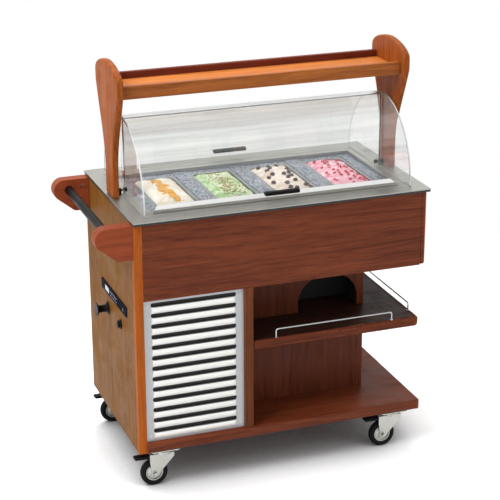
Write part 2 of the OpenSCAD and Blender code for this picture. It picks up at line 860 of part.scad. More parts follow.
// Swivel fork: a ring on the kingpin, a top plate, two cheeks and the axle
module fork() color(ZINC) {
    wide = fork_in + fork_t;
    difference() {
        union() {
            translate([0, 0, fork_top - ring_t]) cylinder(r = 28, h = ring_t);
            box([-54, -wide, fork_top - ring_t], [36, wide, fork_top - ring_t + fork_t]);
        }
        translate([0, 0, fork_top - ring_t - 1])
            cylinder(r = kingpin_d / 2 + fit_gap, h = ring_t + 2);
    }
    for (s = [0, 1]) mirror([0, s, 0]) slice_y(fork_in, wide) {
        polygon([[-54, fork_top - ring_t + fork_t], [36, fork_top - ring_t + fork_t],
                 [36, fork_top - ring_t - 12], [-trail + 11, wheel_r - 6],
                 [-trail - 11, wheel_r - 6], [-54, fork_top - ring_t - 24]]);
        translate([-trail, wheel_r]) circle(14);
    }
    rod_y(axle_d / 2, -wide - 4, wide + 4, -trail, wheel_r);
    for (s = [0, 1]) mirror([0, s, 0]) rod_y(8, wide, wide + 5, -trail, wheel_r);
    rod_y(pedal_pin_r, -wide, wide, pedal_x, pedal_z);
}

pedal_pin_r = 3;
pedal_x = -46;
pedal_z = fork_top - ring_t - 8;
pedal_len = 64;

module hub() difference() {
    union() {
        rod_y(rim_r - seat_gap / 4, -wheel_w / 2 + 5, wheel_w / 2 - 5, -trail, wheel_r);
        rod_y(14, -wheel_w / 2 - 2, wheel_w / 2 + 2, -trail, wheel_r);
        for (s = [0, 1]) mirror([0, s, 0]) difference() {
            rod_y(rim_r - seat_gap / 4, 0, wheel_w / 2 - 1, -trail, wheel_r);
            rod_y(rim_r - 4, -1, wheel_w / 2, -trail, wheel_r);
        }
    }
    rod_y(axle_d / 2 + fit_gap, -wheel_w, wheel_w, -trail, wheel_r);
}

module tyre() translate([-trail, 0, wheel_r]) rotate([90, 0, 0])
    rotate_extrude($fn = 96) difference() {
        round_rect([rim_r - 8, -wheel_w / 2], [wheel_r, wheel_w / 2], 6);
        translate([0, -wheel_w]) square([rim_r, 2 * wheel_w]);
    }

module wheel() {
    color(ZINC) hub();
    color(BLACK) tyre();
}

// Brake pedal behind the wheel, turning on the fork's small pin
module pedal() {
    half = fork_in - 1;
    color(BLACK) difference() {
        slice_y(-half, half) {
            translate([pedal_x, pedal_z]) circle(6);
            polygon([[pedal_x, pedal_z + 6], [pedal_x - pedal_len + 4, pedal_z + 5],
                     [pedal_x - pedal_len, pedal_z], [pedal_x - pedal_len + 6, pedal_z - 4],
                     [pedal_x, pedal_z - 6]]);
        }
        rod_y(pedal_pin_r + fit_gap, -half - 1, half + 1, pedal_x, pedal_z);
    }
}

module caster_piece(i) {
    translate([caster_x[i % 2], caster_y[floor(i / 2)], 0]) children();
}

// Screws and bolts that show or that carry the casters
module fasteners() color("gray") {
    at_casters() at_bolts() {
        translate([0, 0, z_base - plate_t]) cylinder(r = bolt_r - fit_gap, h = 22);
        translate([0, 0, z_base - plate_t - 5]) cylinder(r = 6.5, h = 5, $fn = 6);
    }
    for (x = [x_in + 15, x_div - 15], z = [z_bay + 20, z_apron - 20])
        rod_y(4, -y_cab + grille_inset - 2, -y_cab + grille_inset, x, z);
    for (s = [0, 1]) mirror([0, s, 0])
        rod_y(screw_hole_d / 2 - 1, bracket_y + 8, bracket_y + 12, x_out - screw_out,
            z_top - screw_down);
}

// Machine compartment

module compressor() {
    dome = 34;
    arc = [for (a = [0 : 15 : 90]) [comp_r - dome + dome * cos(a), comp_h - dome + dome * sin(a)]];
    low = [for (a = [-90 : 15 : 0]) [comp_r - dome + dome * cos(a), dome + dome * sin(a)]];
    translate([cond_x, comp_y, comp_z]) color(BLACK) {
        rotate_extrude() polygon(concat([[0, 0]], low, arc, [[0, comp_h]]));
        box([-comp_foot_l, -comp_foot_w, -4], [comp_foot_l, comp_foot_w, 2]);
        for (x = [-1, 1], y = [-1, 1])
            translate([x * (comp_foot_l - damper_in), y * (comp_foot_w - damper_in),
                z_bay - comp_z])
                cylinder(r = damper_r, h = comp_z - z_bay);
    }
}

module condenser() {
    fin_n = 24;
    step = (cond_w - 20) / fin_n;
    color("darkgray") difference() {
        box([cond_x - cond_w / 2, cond_y, z_bay], [cond_x + cond_w / 2, cond_y + cond_d,
            z_bay + cond_h]);
        for (i = [0 : fin_n - 1])
            box([cond_x - cond_w / 2 + 10 + i * step, cond_y - 1, z_bay + 20],
                [cond_x - cond_w / 2 + 10 + (i + 0.5) * step, cond_y + 8, z_bay + cond_h - 12]);
        // Air passage through the core to the fan
        rod_y(fan_r - 20, cond_y + 12, cond_y + cond_d + 1, cond_x, fan_z);
    }
}

// Fan shroud with the motor held on three arms
module fan_motor() {
    y0 = fan_y;
    y_motor = y0 + duct_d;
    color("dimgray") {
        difference() {
            union() {
                box([cond_x - cond_w / 2, y0, z_bay],
                    [cond_x + cond_w / 2, y0 + shroud_t, z_bay + cond_h]);
                rod_y(ring_r + 4, y0, y_motor, cond_x, fan_z);
            }
            rod_y(ring_r, y0 - 1, y_motor + 1, cond_x, fan_z);
        }
        rod_y(motor_r, y_motor, y_motor + motor_len, cond_x, fan_z);
        rod_y(shaft_r, y0 + 4, y_motor + 1, cond_x, fan_z);
        translate([cond_x, y_motor, fan_z]) for (a = [90, 210, 330]) rotate([0, -a, 0])
            box([motor_r - 4, 0, -6], [ring_r + 3, 4, 6]);
    }
}

module fan_rotor() {
    y0 = fan_y + 5;
    y1 = fan_y + duct_d - 3;
    blade_n = 5;
    color("lightsteelblue") difference() {
        union() {
            rod_y(22, y0, y1, cond_x, fan_z);
            translate([cond_x, (y0 + y1) / 2, fan_z]) for (i = [0 : blade_n - 1])
                rotate([0, i * 360 / blade_n, 0]) rotate([24, 0, 0])
                    box([18, -1, -26], [fan_r - 4, 1, 26]);
        }
        rod_y(shaft_r + fit_gap, y0 - 1, y1 + 1, cond_x, fan_z);
    }
}

place() side_panel();
place() divider_panel();
place() base_board();
place() mid_shelf();
place() apron_front();
place() apron_right();
place() apron_rear();
place() rear_panels();
place() bay_side_panel();
place() bay_back_panel();
place() recess_liner();
place() grille();
place() worktop();
place() worktop_board();
place() well_liner();
place() well_insulation();
place() refrigerant_circuit();
place() pan_frame();
place() label_strip();
place() posts();
place() tray_board();
place() tray_rails();
place() canopy_pivots();
place() handle_brackets();
place() handle_bar();
place() control_panel();
place() cord_cleat();
place() cable_gland();
place() gallery_rails();
place() caster_plates();
place() fasteners();
place() compressor();
place() condenser();
place() fan_motor();
place() fan_rotor();
place() power_button();
place() front_lid();
place() front_lid_handle();
place() rear_lid();
place() rear_lid_handle();
place() pan(1);  // pan_1
place() pan(2);  // pan_2
place() pan(3);  // pan_3
place() pan(4);  // pan_4
place() ice_cream(1);  // ice_cream_1
place() ice_cream(2);  // ice_cream_2
place() ice_cream(3);  // ice_cream_3
place() ice_cream(4);  // ice_cream_4
place() caster_piece(0) fork();  // fork_fl
place() caster_piece(1) fork();  // fork_fr
place() caster_piece(2) fork();  // fork_rl
place() caster_piece(3) fork();  // fork_rr
place() caster_piece(0) wheel();  // wheel_fl
place() caster_piece(1) wheel();  // wheel_fr
place() caster_piece(2) wheel();  // wheel_rl
place() caster_piece(3) wheel();  // wheel_rr
place() caster_piece(0) pedal();  // pedal_fl
place() caster_piece(1) pedal();  // pedal_fr
place() caster_piece(2) pedal();  // pedal_rl
place() caster_piece(3) pedal();  // pedal_rr
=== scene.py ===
# %% [markdown]
# # A wooden ice cream cart
#
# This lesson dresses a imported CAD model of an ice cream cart: a wooden cabinet on
# four casters, a stainless worktop with four pans under two clear curved lids, and a
# high tray on two shaped posts. The CAD fixes every size and every joint, so each
# step here only adds what the eye looks for: soft edges, grain, brushed steel,
# lacquer, and the small pieces that are too fine for the solids.

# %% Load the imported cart
import json
import math
import random

import bmesh
import bpy
from mathutils import Matrix, Vector, noise

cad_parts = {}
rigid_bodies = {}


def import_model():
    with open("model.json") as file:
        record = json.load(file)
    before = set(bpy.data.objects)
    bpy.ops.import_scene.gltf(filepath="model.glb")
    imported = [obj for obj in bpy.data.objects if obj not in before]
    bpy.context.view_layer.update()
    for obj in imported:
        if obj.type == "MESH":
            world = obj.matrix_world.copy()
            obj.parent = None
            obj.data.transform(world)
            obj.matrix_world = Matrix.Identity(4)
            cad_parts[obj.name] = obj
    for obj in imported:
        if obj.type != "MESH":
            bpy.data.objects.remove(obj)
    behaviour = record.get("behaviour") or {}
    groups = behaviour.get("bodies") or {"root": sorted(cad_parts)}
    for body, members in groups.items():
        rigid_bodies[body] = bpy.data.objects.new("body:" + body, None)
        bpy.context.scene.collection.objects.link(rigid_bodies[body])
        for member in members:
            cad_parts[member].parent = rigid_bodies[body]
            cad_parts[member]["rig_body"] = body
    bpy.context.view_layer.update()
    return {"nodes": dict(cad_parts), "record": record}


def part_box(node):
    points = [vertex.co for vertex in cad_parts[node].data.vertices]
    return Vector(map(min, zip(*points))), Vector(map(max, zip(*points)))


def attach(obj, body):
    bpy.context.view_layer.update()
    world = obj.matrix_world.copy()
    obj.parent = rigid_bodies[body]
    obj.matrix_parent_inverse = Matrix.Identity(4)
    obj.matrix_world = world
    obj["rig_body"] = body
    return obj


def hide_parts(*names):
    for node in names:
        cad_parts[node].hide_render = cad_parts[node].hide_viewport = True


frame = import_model()
nodes = frame["nodes"]
slot_of = {s["node"]: s["material_slot"] for s in frame["record"]["subparts"]}

# %% [markdown]
# ## The camera
#
# The photograph looks down on the cart from its front left. A camera could be moved
# by eye until the view looks right, but then its lens and its distance are easily
# confused. So its place, its turns and its lens come from matching thirty corners of
# the cart to their pixels. A long lens set far back keeps the uprights nearly parallel.

# %% Place the camera
PICTURE_PX = 500
FOCAL_PX = 1613
SENSOR_MM = 36
CAMERA_PLACE = (-1.850, -5.233, 2.771)
YAW, PITCH, ROLL = (math.radians(a) for a in (19.93, 20.06, -0.23))

camera_data = bpy.data.cameras.new("camera")
camera_data.sensor_width = SENSOR_MM
camera_data.lens = FOCAL_PX * SENSOR_MM / PICTURE_PX
camera = bpy.data.objects.new("camera", camera_data)
bpy.context.scene.collection.objects.link(camera)
level = math.cos(PITCH)
look = Vector((math.sin(YAW) * level, math.cos(YAW) * level, -math.sin(PITCH)))
aim = look.to_track_quat("-Z", "Y").to_matrix() @ Matrix.Rotation(ROLL, 3, "Z")
camera.rotation_mode = "QUATERNION"
camera.rotation_quaternion = aim.to_quaternion()
camera.location = CAMERA_PLACE
bpy.context.scene.camera = camera
print("lens", round(camera_data.lens, 1), "mm")

# %% [markdown]
# ## Colours as the eye names them
#
# Colours are easiest to judge as screen values from 0 to 255. Shaders want linear
# light, so one small helper turns the first into the second, and another makes a
# darker shade of a colour for the patches where a surface is uneven.


# %% Screen colour to linear light
def screen(r, g, b):
    """A colour given as on a screen, as linear red, green, blue and alpha."""
    def linear(v):
        v /= 255
        return v / 12.92 if v <= 0.04045 else ((v + 0.055) / 1.055) ** 2.4
    return (linear(r), linear(g), linear(b), 1)


def dimmed(colour, share):
    """The same colour with that share of its light."""
    return tuple(c * share for c in colour[:3]) + (1,)


print("screen grey 128 is", round(screen(128, 128, 128)[0], 3), "in linear light")


# %% [markdown]
# ## A shader bench
#
# Every finish below is a Principled shader fed by a few textures. Wiring nodes by
# name takes many lines, so a few helpers keep it short: they make a node and fill its
# sockets, join two sockets, start a material, and do sums. Object coordinates are
# used all through, because every piece keeps its place in its mesh, and so a pattern
# stays put when the piece moves.


# %% Nodes, wires and new materials
def put(tree, kind, sockets=None, **props):
    """Adds a node of that kind, sets its properties and its sockets' own values."""
    node = tree.nodes.new("ShaderNode" + kind)
    for key, value in props.items():
        setattr(node, key, value)
    for key, value in (sockets or {}).items():
        node.inputs[key].default_value = value
    return node


def wire(tree, start, end):
    """Joins an output socket to an input socket."""
    tree.links.new(start, end)


def new_finish(name):
    """An empty material with its Principled shader, and its object coordinates."""
    made = bpy.data.materials.new(name)
    made.use_nodes = True
    tree = made.node_tree
    tree.nodes.clear()
    shader = put(tree, "BsdfPrincipled")
    wire(tree, shader.outputs[0], put(tree, "OutputMaterial").inputs[0])
    return made, tree, shader, put(tree, "TexCoord").outputs["Object"]


def end_with(tree, shader_socket):
    """Wires another shader into the material's output, in place of the first one."""
    out = next(n for n in tree.nodes if n.type == "OUTPUT_MATERIAL")
    wire(tree, shader_socket, out.inputs[0])


def mixed_shader(tree, factor, first, second):
    """A Mix Shader between two shader sockets. Returns its output."""
    node = put(tree, "MixShader")
    for i, socket in enumerate((factor, first, second)):
        wire(tree, socket, node.inputs[i])
    return node.outputs[0]


# %% Shader groups for shared effects
def new_effect(name, inputs, outputs):
    """An empty shader group with named sockets, given as (name, kind, value)."""
    tree = bpy.data.node_groups.new(name, "ShaderNodeTree")
    for label, kind, value in inputs:
        made = tree.interface.new_socket(label, in_out="INPUT", socket_type="NodeSocket" + kind)
        if value is not None:
            made.default_value = value
    for label, kind in outputs:
        tree.interface.new_socket(label, in_out="OUTPUT", socket_type="NodeSocket" + kind)
    return tree, tree.nodes.new("NodeGroupInput"), tree.nodes.new("NodeGroupOutput")


def use_effect(tree, effect, vector, **values):
    """Places a shader group in a material, on its coordinates and with its own values."""
    node = tree.nodes.new("ShaderNodeGroup")
    node.node_tree = effect
    wire(tree, vector, node.inputs["Vector"])
    for key, value in values.items():
        node.inputs[key].default_value = value
    return node.outputs


# %% Sums, mixes and patterns
def calc(tree, operation, a, b=None, c=None, clamp=False):
    """One Math node; each operand is a number or a socket. Returns its output."""
    node = put(tree, "Math", operation=operation, use_clamp=clamp)
    for i, v in enumerate((a, b, c)):
        if isinstance(v, (int, float)):
            node.inputs[i].default_value = v
        elif v is not None:
            wire(tree, v, node.inputs[i])
    return node.outputs[0]


def times(tree, a, b):
    """The product of two values, each a number or a socket."""
    return calc(tree, "MULTIPLY", a, b)


def blend_colours(tree, factor, a, b):
    """Mixes two colours, each a socket or a value. Returns the mixed colour."""
    node = put(tree, "Mix", data_type="RGBA", clamp_factor=True)
    for socket, v in zip((node.inputs["Factor"], node.inputs[6], node.inputs[7]), (factor, a, b)):
        if isinstance(v, tuple):
            socket.default_value = v
        else:
            wire(tree, v, socket)
    return node.outputs[2]


def spread(tree, value, low, high, to_low=0.0, to_high=1.0):
    """Maps a value from one range to another, and clamps it there."""
    node = put(tree, "MapRange", {1: low, 2: high, 3: to_low, 4: to_high})
    wire(tree, value, node.inputs[0])
    return node.outputs[0]


def xyz(tree, vector):
    """The three parts of a vector, as sockets."""
    node = put(tree, "SeparateXYZ")
    wire(tree, vector, node.inputs[0])
    return node.outputs


def stretched(tree, vector, scale=(1, 1, 1), turn=(0, 0, 0)):
    """The coordinates turned, then scaled per axis, for grain and brush marks."""
    for change in ({"Rotation": turn}, {"Scale": scale}):
        step = put(tree, "Mapping", change)
        wire(tree, vector, step.inputs["Vector"])
        vector = step.outputs[0]
    return vector


def cloud(tree, vector, scale=1.0, detail=2.0, rough=0.5, twist=0.0):
    """A noise texture's value on these coordinates; the scale may be a socket."""
    node = put(tree, "TexNoise", {"Detail": detail, "Roughness": rough, "Distortion": twist})
    wire(tree, vector, node.inputs["Vector"])
    if isinstance(scale, (int, float)):
        node.inputs["Scale"].default_value = scale
    else:
        wire(tree, scale, node.inputs["Scale"])
    return node.outputs[0]


def bumped(tree, shader, height, strength, reach):
    """Wires a height through a Bump node into a shader's Normal."""
    relief = put(tree, "Bump", {"Strength": strength, "Distance": reach})
    wire(tree, height, relief.inputs["Height"])
    wire(tree, relief.outputs[0], shader.inputs["Normal"])


# %% [markdown]
# ## Effects that many finishes share
#
# *Edge wear and highlight* is the rubbed line along the edges of anything that is
# handled; on the woods its pale colour is also a painted highlight on the rounded
# edges. It could be painted by hand, but a node can find it: the Bevel node's rounded
# normal differs from the true one only near an edge, and noise breaks the line up.

# %% The edge wear and highlight effect
edge_wear_and_highlight, into, outof = new_effect(
    "edge wear and highlight",
    [("Vector", "Vector", None), ("Radius", "Float", 0.003), ("Amount", "Float", 1.0)],
    [("Mask", "Float")])
tree = edge_wear_and_highlight
rounded = put(tree, "Bevel", samples=4)
wire(tree, into.outputs["Radius"], rounded.inputs["Radius"])
facing = put(tree, "VectorMath", operation="DOT_PRODUCT")
wire(tree, rounded.outputs[0], facing.inputs[0])
wire(tree, put(tree, "NewGeometry").outputs["Normal"], facing.inputs[1])
rim = spread(tree, facing.outputs["Value"], 0.995, 0.85)
patchy = spread(tree, cloud(tree, into.outputs["Vector"], 55, 4, 0.6), 0.38, 0.62)
worn = times(tree, times(tree, rim, patchy), into.outputs["Amount"])
wire(tree, worn, outof.inputs["Mask"])
print("edge wear and highlight:", len(tree.nodes), "nodes")

# %% [markdown]
# *Wood grain* is four things on top of each other: growth rings that wander, broad
# streaks, fine fibres and dark pores. Blender's Wave texture gives rings, but they
# look like a drawing; noise that is stretched long in the direction of the grain
# looks like sawn wood, and a faint sine for the rings is enough.

# %% The wood grain effect
RINGS_LONG, STREAKS_LONG = (1.3, 5, 5), (2.0, 30, 30)
FIBRES_LONG, PORES_LONG = (7, 260, 260), (20, 700, 700)
WANDER = 14.0
RING_SHARE, STREAK_SHARE, FIBRE_SHARE, PORE_SHARE = 0.15, 0.45, 0.42, 0.5
PORE_BROWN = screen(36, 15, 8)

wood_grain, into, outof = new_effect(
    "wood grain",
    [("Vector", "Vector", None), ("Pale", "Color", (0.5, 0.2, 0.1, 1)),
     ("Deep", "Color", (0.2, 0.08, 0.04, 1)), ("Rings", "Float", 30.0),
     ("Figure", "Float", 1.0)],
    [("Color", "Color"), ("Height", "Float")])
tree, along = wood_grain, into.outputs["Vector"]
axes = xyz(tree, along)
across = calc(tree, "ADD", axes[1], times(tree, axes[2], 0.8))
wander = cloud(tree, stretched(tree, along, RINGS_LONG), 1, 4, 0.5, 0.4)
bend = times(tree, wander, times(tree, into.outputs["Figure"], WANDER))
turns = calc(tree, "MULTIPLY_ADD", across, into.outputs["Rings"], bend)
wave = calc(tree, "SINE", times(tree, turns, 3.14))
ring = calc(tree, "POWER", calc(tree, "MULTIPLY_ADD", wave, 0.5, 0.5), 2.4)
streaks = cloud(tree, stretched(tree, along, STREAKS_LONG), 1, 5, 0.66, 0.4)
fibre = cloud(tree, stretched(tree, along, FIBRES_LONG), 1, 6, 0.72)
pores = spread(tree, cloud(tree, stretched(tree, along, PORES_LONG), 1, 3, 0.6), 0.56, 0.70)
soft_shade = calc(tree, "ADD", times(tree, spread(tree, fibre, 0.34, 0.66), FIBRE_SHARE),
                  times(tree, spread(tree, streaks, 0.32, 0.68), STREAK_SHARE))
shade = calc(tree, "ADD", times(tree, ring, RING_SHARE), soft_shade, clamp=True)
board = blend_colours(tree, shade, into.outputs["Pale"], into.outputs["Deep"])
board = blend_colours(tree, times(tree, pores, PORE_SHARE), board, PORE_BROWN)
wire(tree, board, outof.inputs["Color"])
wire(tree, calc(tree, "SUBTRACT", times(tree, fibre, 0.6), pores), outof.inputs["Height"])
print("wood grain:", len(tree.nodes), "nodes")

# %% [markdown]
# *Brush marks* are fine streaks in the gloss of rolled or brushed metal: one noise,
# stretched by the coordinates that a finish feeds in. *Handling* is the faint
# unevenness that any used surface has in its gloss. Without it a surface looks new
# and computed, however good its colour is.

# %% The brush mark and handling effects
brush_marks, into, outof = new_effect(
    "brush marks", [("Vector", "Vector", None), ("Amount", "Float", 1.0)],
    [("Streak", "Float"), ("Height", "Float")])
fine = cloud(brush_marks, into.outputs["Vector"], 1, 5, 0.7)
streak = times(brush_marks, spread(brush_marks, fine, 0.25, 0.75), into.outputs["Amount"])
wire(brush_marks, streak, outof.inputs["Streak"])
wire(brush_marks, fine, outof.inputs["Height"])

handling, into, outof = new_effect(
    "handling", [("Vector", "Vector", None), ("Scale", "Float", 9.0), ("Amount", "Float", 1.0)],
    [("Mask", "Float")])
smears = cloud(handling, into.outputs["Vector"], into.outputs["Scale"], 5, 0.62, 0.8)
smears = times(handling, spread(handling, smears, 0.4, 0.7), into.outputs["Amount"])
wire(handling, smears, outof.inputs["Mask"])
print("effects:", [g.name for g in bpy.data.node_groups])


# %% [markdown]
# ## Finishing a shader
#
# Most finishes end the same way: gloss that wanders a little, a height for the bump,
# and a paler edge that shifts the colour: wear, and on the woods also a painted
# highlight. One helper does that, so a finish below only says what is its own.


# %% The common end of a finish
def end_finish(tree, shader, where, colour, roughness, vary, height, bump, reach,
               wear=0.35, wear_to=(1, 1, 1, 1), edge=0.003):
    """Wires colour, gloss, bump and a paler edge (wear, and on the woods partly a painted
    highlight) into a Principled shader.
    """
    edges = use_effect(tree, edge_wear_and_highlight, where, Radius=edge, Amount=wear)["Mask"]
    wire(tree, blend_colours(tree, edges, colour, wear_to), shader.inputs["Base Color"])
    touch = use_effect(tree, handling, where, Scale=11.0, Amount=vary)["Mask"]
    wire(tree, calc(tree, "ADD", touch, roughness, clamp=True), shader.inputs["Roughness"])
    bumped(tree, shader, height, bump, reach)


WHITE_METAL = (0.9, 0.9, 0.9, 1)
print("worn metal shows", WHITE_METAL[:3])


# %% [markdown]
# ## The woods
#
# The cabinet is veneered board under lacquer, and the posts, brackets and edge bands
# are solid wood. A picture of wood could be laid on each board, but it would have to
# be fitted board by board. Instead all use one grain effect with their own colours,
# turned so that the grain runs along each piece. Some boards change at a line: a
# solid edge band at the cabinet's front and right ends, painted shade on the top of
# the mid shelf, which is much darker than its edge, and painted shade on the tray's
# rear rail, which is redder and darker than the front one. The lacquer is the shader's
# own coat.


# %% The wood finish
def wood(name, pale, deep, turn, rings, figure, shine=0.14, band=None):
    """Lacquered wood. A band is (axis, start, full, pale, deep, turn) of other wood, or of
    painted shade.
    """
    made, tree, shader, where = new_finish(name)
    grain = use_effect(tree, wood_grain, stretched(tree, where, turn=turn),
                       Pale=screen(*pale), Deep=screen(*deep), Rings=rings, Figure=figure)
    colour = grain["Color"]
    if band:
        axis, start, full, pale, deep, turn = band
        strip = use_effect(tree, wood_grain, stretched(tree, where, turn=turn),
                           Pale=screen(*pale), Deep=screen(*deep), Rings=60.0, Figure=0.5)
        on_band = spread(tree, xyz(tree, where)[axis], start, full)
        colour = blend_colours(tree, on_band, colour, strip["Color"])
    shader.inputs["Coat Weight"].default_value = shine / 3
    shader.inputs["Coat Roughness"].default_value = 0.2
    shader.inputs["Specular IOR Level"].default_value = shine
    # Along the rounded edges the pale colour is partly wear and partly a painted highlight.
    end_finish(tree, shader, where, colour, 0.42, 0.2, grain["Height"], 0.2, 0.0006,
               wear=0.55, wear_to=screen(188, 104, 50), edge=0.004)
    return made


GRAIN_X, GRAIN_Z = (0, 0, 0), (0, math.pi / 2, 0)
SIDE_EDGE, RIGHT_END = (1, -0.2915, -0.2925), (0, 0.5995, 0.6000)
SHELF_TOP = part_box("mid_shelf")[1].z
EDGE_BAND = ((190, 104, 42), (150, 72, 26), GRAIN_Z)
# name: pale colour, deep colour, way of the grain, rings, figure, shine
WOODS = {
    "side_wood": ((146, 97, 42), (98, 61, 22), GRAIN_Z, 70, 0.5, 0.03),
    "cabinet_wood": ((136, 67, 37), (68, 25, 13), GRAIN_X, 80, 1.0),
    # The mid shelf: a darker copy of the cabinet wood, painted shade under the worktop.
    "shelf_wood_painted_shade": ((128, 62, 36), (64, 24, 13), GRAIN_X, 80, 1.0, 0.1),
    "divider_wood": ((132, 74, 38), (74, 34, 18), GRAIN_Z, 80, 0.6, 0.1),
    # The bay's boards: darker than the cabinet wood, partly their own tone and partly painted
    # shade under the worktop and shelf.
    "bay_wood": ((84, 34, 18), (30, 11, 7), GRAIN_X, 80, 0.8, 0.05),
    "bay_back_wood": ((120, 58, 32), (60, 24, 14), GRAIN_Z, 80, 0.8),
    "post_wood": ((184, 100, 40), (104, 46, 18), GRAIN_Z, 90, 0.8, 0.07),
    "rail_wood": ((188, 110, 48), (96, 42, 18), GRAIN_X, 90, 0.7),
    "bracket_wood": ((164, 78, 42), (112, 46, 24), GRAIN_X, 60, 0.5),
    "tray_wood": ((222, 138, 62), (170, 84, 28), GRAIN_X, 60, 0.7),
}
BANDS = {
    "side_wood": SIDE_EDGE + EDGE_BAND,
    "cabinet_wood": RIGHT_END + EDGE_BAND,
    # Painted shade: the mid shelf's top is much darker than its edge.
    "shelf_wood_painted_shade": (2, SHELF_TOP - 0.0012, SHELF_TOP - 0.0004, (62, 36, 27), (24, 11, 8), GRAIN_X),
    # Painted shade: the tray's rear rail is redder and darker than the front one.
    "rail_wood": (1, 0.0, 0.01, (122, 52, 30), (78, 26, 18), GRAIN_X),
}
finishes = {name: wood(name, *look, band=BANDS.get(name)) for name, look in WOODS.items()}
print("woods:", len(finishes))


# %% [markdown]
# ## Metals
#
# The worktop, the well and the pans are brushed steel, the casters zinc plated, the
# grille lacquered in silver. One shader serves them all: brush marks dim the colour
# a little and give the bump, and they run long where the brush numbers are small.
# Grille paint is only partly metallic, so it stays bright under a soft lamp. The grille's
# flat plate is a darker copy of the hoods' silver: painted shade beside the bright hoods.


# %% Metal finishes
def metal(name, colour, roughness, brush, marks, bump, dark, metallic=1.0):
    """Bare or plated metal, its brush marks long where brush is small."""
    made, tree, shader, where = new_finish(name)
    shader.inputs["Metallic"].default_value = metallic
    lines = use_effect(tree, brush_marks, stretched(tree, where, brush), Amount=marks)
    colour = screen(*colour)
    shaded = blend_colours(tree, lines["Streak"], colour, dimmed(colour, dark))
    end_finish(tree, shader, where, shaded, roughness, 0.12, lines["Height"], bump, 0.0004,
               wear=0.25, wear_to=WHITE_METAL)
    return made


# name: colour, roughness, brush, marks, bump, share of light in a mark, metallic
METALS = {
    "grille_silver": ((250, 249, 245), 0.42, (500, 500, 500), 0.5, 0.05, 0.9, 0.25),
    # The grille's flat plate: a darker copy of the hoods' silver, painted shade.
    "grille_plate_painted_shade": ((186, 189, 192), 0.42, (500, 500, 500), 0.5, 0.05, 0.86, 0.4),
    "worktop_steel": ((170, 169, 163), 0.36, (9, 900, 900), 0.5, 0.02, 0.8),
    "well_steel": ((196, 200, 202), 0.30, (400, 400, 9), 0.4, 0.05, 0.8),
    "pan_steel": ((150, 152, 152), 0.34, (300, 300, 12), 0.3, 0.03, 0.8),
    "zinc": ((190, 190, 184), 0.32, (160, 160, 160), 0.5, 0.08, 0.72),
    "bolt_steel": ((190, 190, 188), 0.28, (900, 900, 900), 0.5, 0.08, 0.7),
    "chrome_wire": ((176, 178, 180), 0.14, (90, 90, 90), 0.12, 0.0, 0.85),
    "copper": ((214, 132, 92), 0.28, (60, 500, 500), 0.4, 0.05, 0.7),
    "fins": ((22, 22, 23), 0.5, (1600, 60, 60), 0.5, 0.2, 0.5, 0.2),
}
finishes.update({name: metal(name, *look) for name, look in METALS.items()})
print("metals:", len(METALS))


# %% [markdown]
# ## Plastics, paint and toppings
#
# Grips, tyres, the control strip and the foam are moulded or painted stuff: a dark
# base with a fine bump, slightly uneven, and paler where edges are rubbed. Sauce,
# crumbs, cherries and berries are made the same way, with a wet coat and no wear.


# %% Plastic finishes
def plastic(name, colour, roughness, grain=1400, bump=0.06, wear=0.3,
            wear_to=(120, 120, 118), coat=0.0, mottle=0.82, shine=0.5):
    """Moulded or painted stuff with a fine bump and slightly uneven colour."""
    made, tree, shader, where = new_finish(name)
    shader.inputs["Coat Weight"].default_value = coat
    shader.inputs["Coat Roughness"].default_value = 0.08
    shader.inputs["Specular IOR Level"].default_value = shine
    uneven = spread(tree, cloud(tree, where, 26, 4, 0.6), 0.3, 0.7)
    colour = screen(*colour)
    shaded = blend_colours(tree, uneven, colour, dimmed(colour, mottle))
    end_finish(tree, shader, where, shaded, roughness, 0.15, cloud(tree, where, grain, 3, 0.6),
               bump, 0.0004, wear=wear, wear_to=screen(*wear_to))
    return made


PLASTICS = {
    "black_plastic": dict(colour=(14, 14, 15), roughness=0.36, wear=0.2, shine=0.1),
    "control_black": dict(colour=(16, 17, 34), roughness=0.6, bump=0.01, wear=0.1, shine=0.02),
    "recess_black": dict(colour=(16, 14, 13), roughness=0.6, wear=0.1),
    "board_black": dict(colour=(30, 32, 30), roughness=0.45),
    "compressor_black": dict(colour=(22, 23, 24), roughness=0.4, grain=700, bump=0.12, coat=0.1),
    "fan_grey": dict(colour=(40, 42, 43), roughness=0.42),
    "foam": dict(colour=(226, 214, 168), roughness=0.85, grain=420, bump=0.3, wear=0.1),
    "frosted_edge": dict(colour=(224, 230, 230), roughness=0.3, bump=0.01, wear=0, mottle=0.94),
    # The lids' top edge: dark grey, a painted dark look of the edge seen through the sheet.
    "lid_top_edge_painted_dark": dict(colour=(96, 102, 102), roughness=0.3, bump=0.01, wear=0, mottle=0.8),
    "display": dict(colour=(190, 200, 206), roughness=0.2, coat=0.4, bump=0.01, wear=0.1),
    "button_green": dict(colour=(16, 62, 40), roughness=0.34, coat=0.1, shine=0.2),
    "wheel_rubber": dict(colour=(17, 17, 17), roughness=0.66, grain=600, bump=0.18, shine=0.15,
                         wear_to=(60, 58, 56)),
    "sauce": dict(colour=(250, 180, 30), roughness=0.35, grain=160, bump=0.2, wear=0, coat=0.2,
                  shine=0.3),
    "crumbs": dict(colour=(168, 128, 44), roughness=0.6, grain=500, bump=0.3, wear=0, mottle=0.7),
    "cherry": dict(colour=(58, 22, 28), roughness=0.2, grain=240, bump=0.15, wear=0, coat=0.6),
    "berry": dict(colour=(214, 26, 62), roughness=0.22, grain=300, bump=0.25, wear=0, coat=0.5),
}
finishes.update({name: plastic(name, **look) for name, look in PLASTICS.items()})
print("plastics and toppings:", len(PLASTICS))


# %% [markdown]
# ## The cooled frame's dents
#
# The bars between the pans are blue-grey sheet with a close pattern of small dents,
# pale with frost. Real dents would need hundreds of thousands of faces. A Voronoi
# texture's distance is round about each point, so it gives both the shading and the
# bump of a dent.


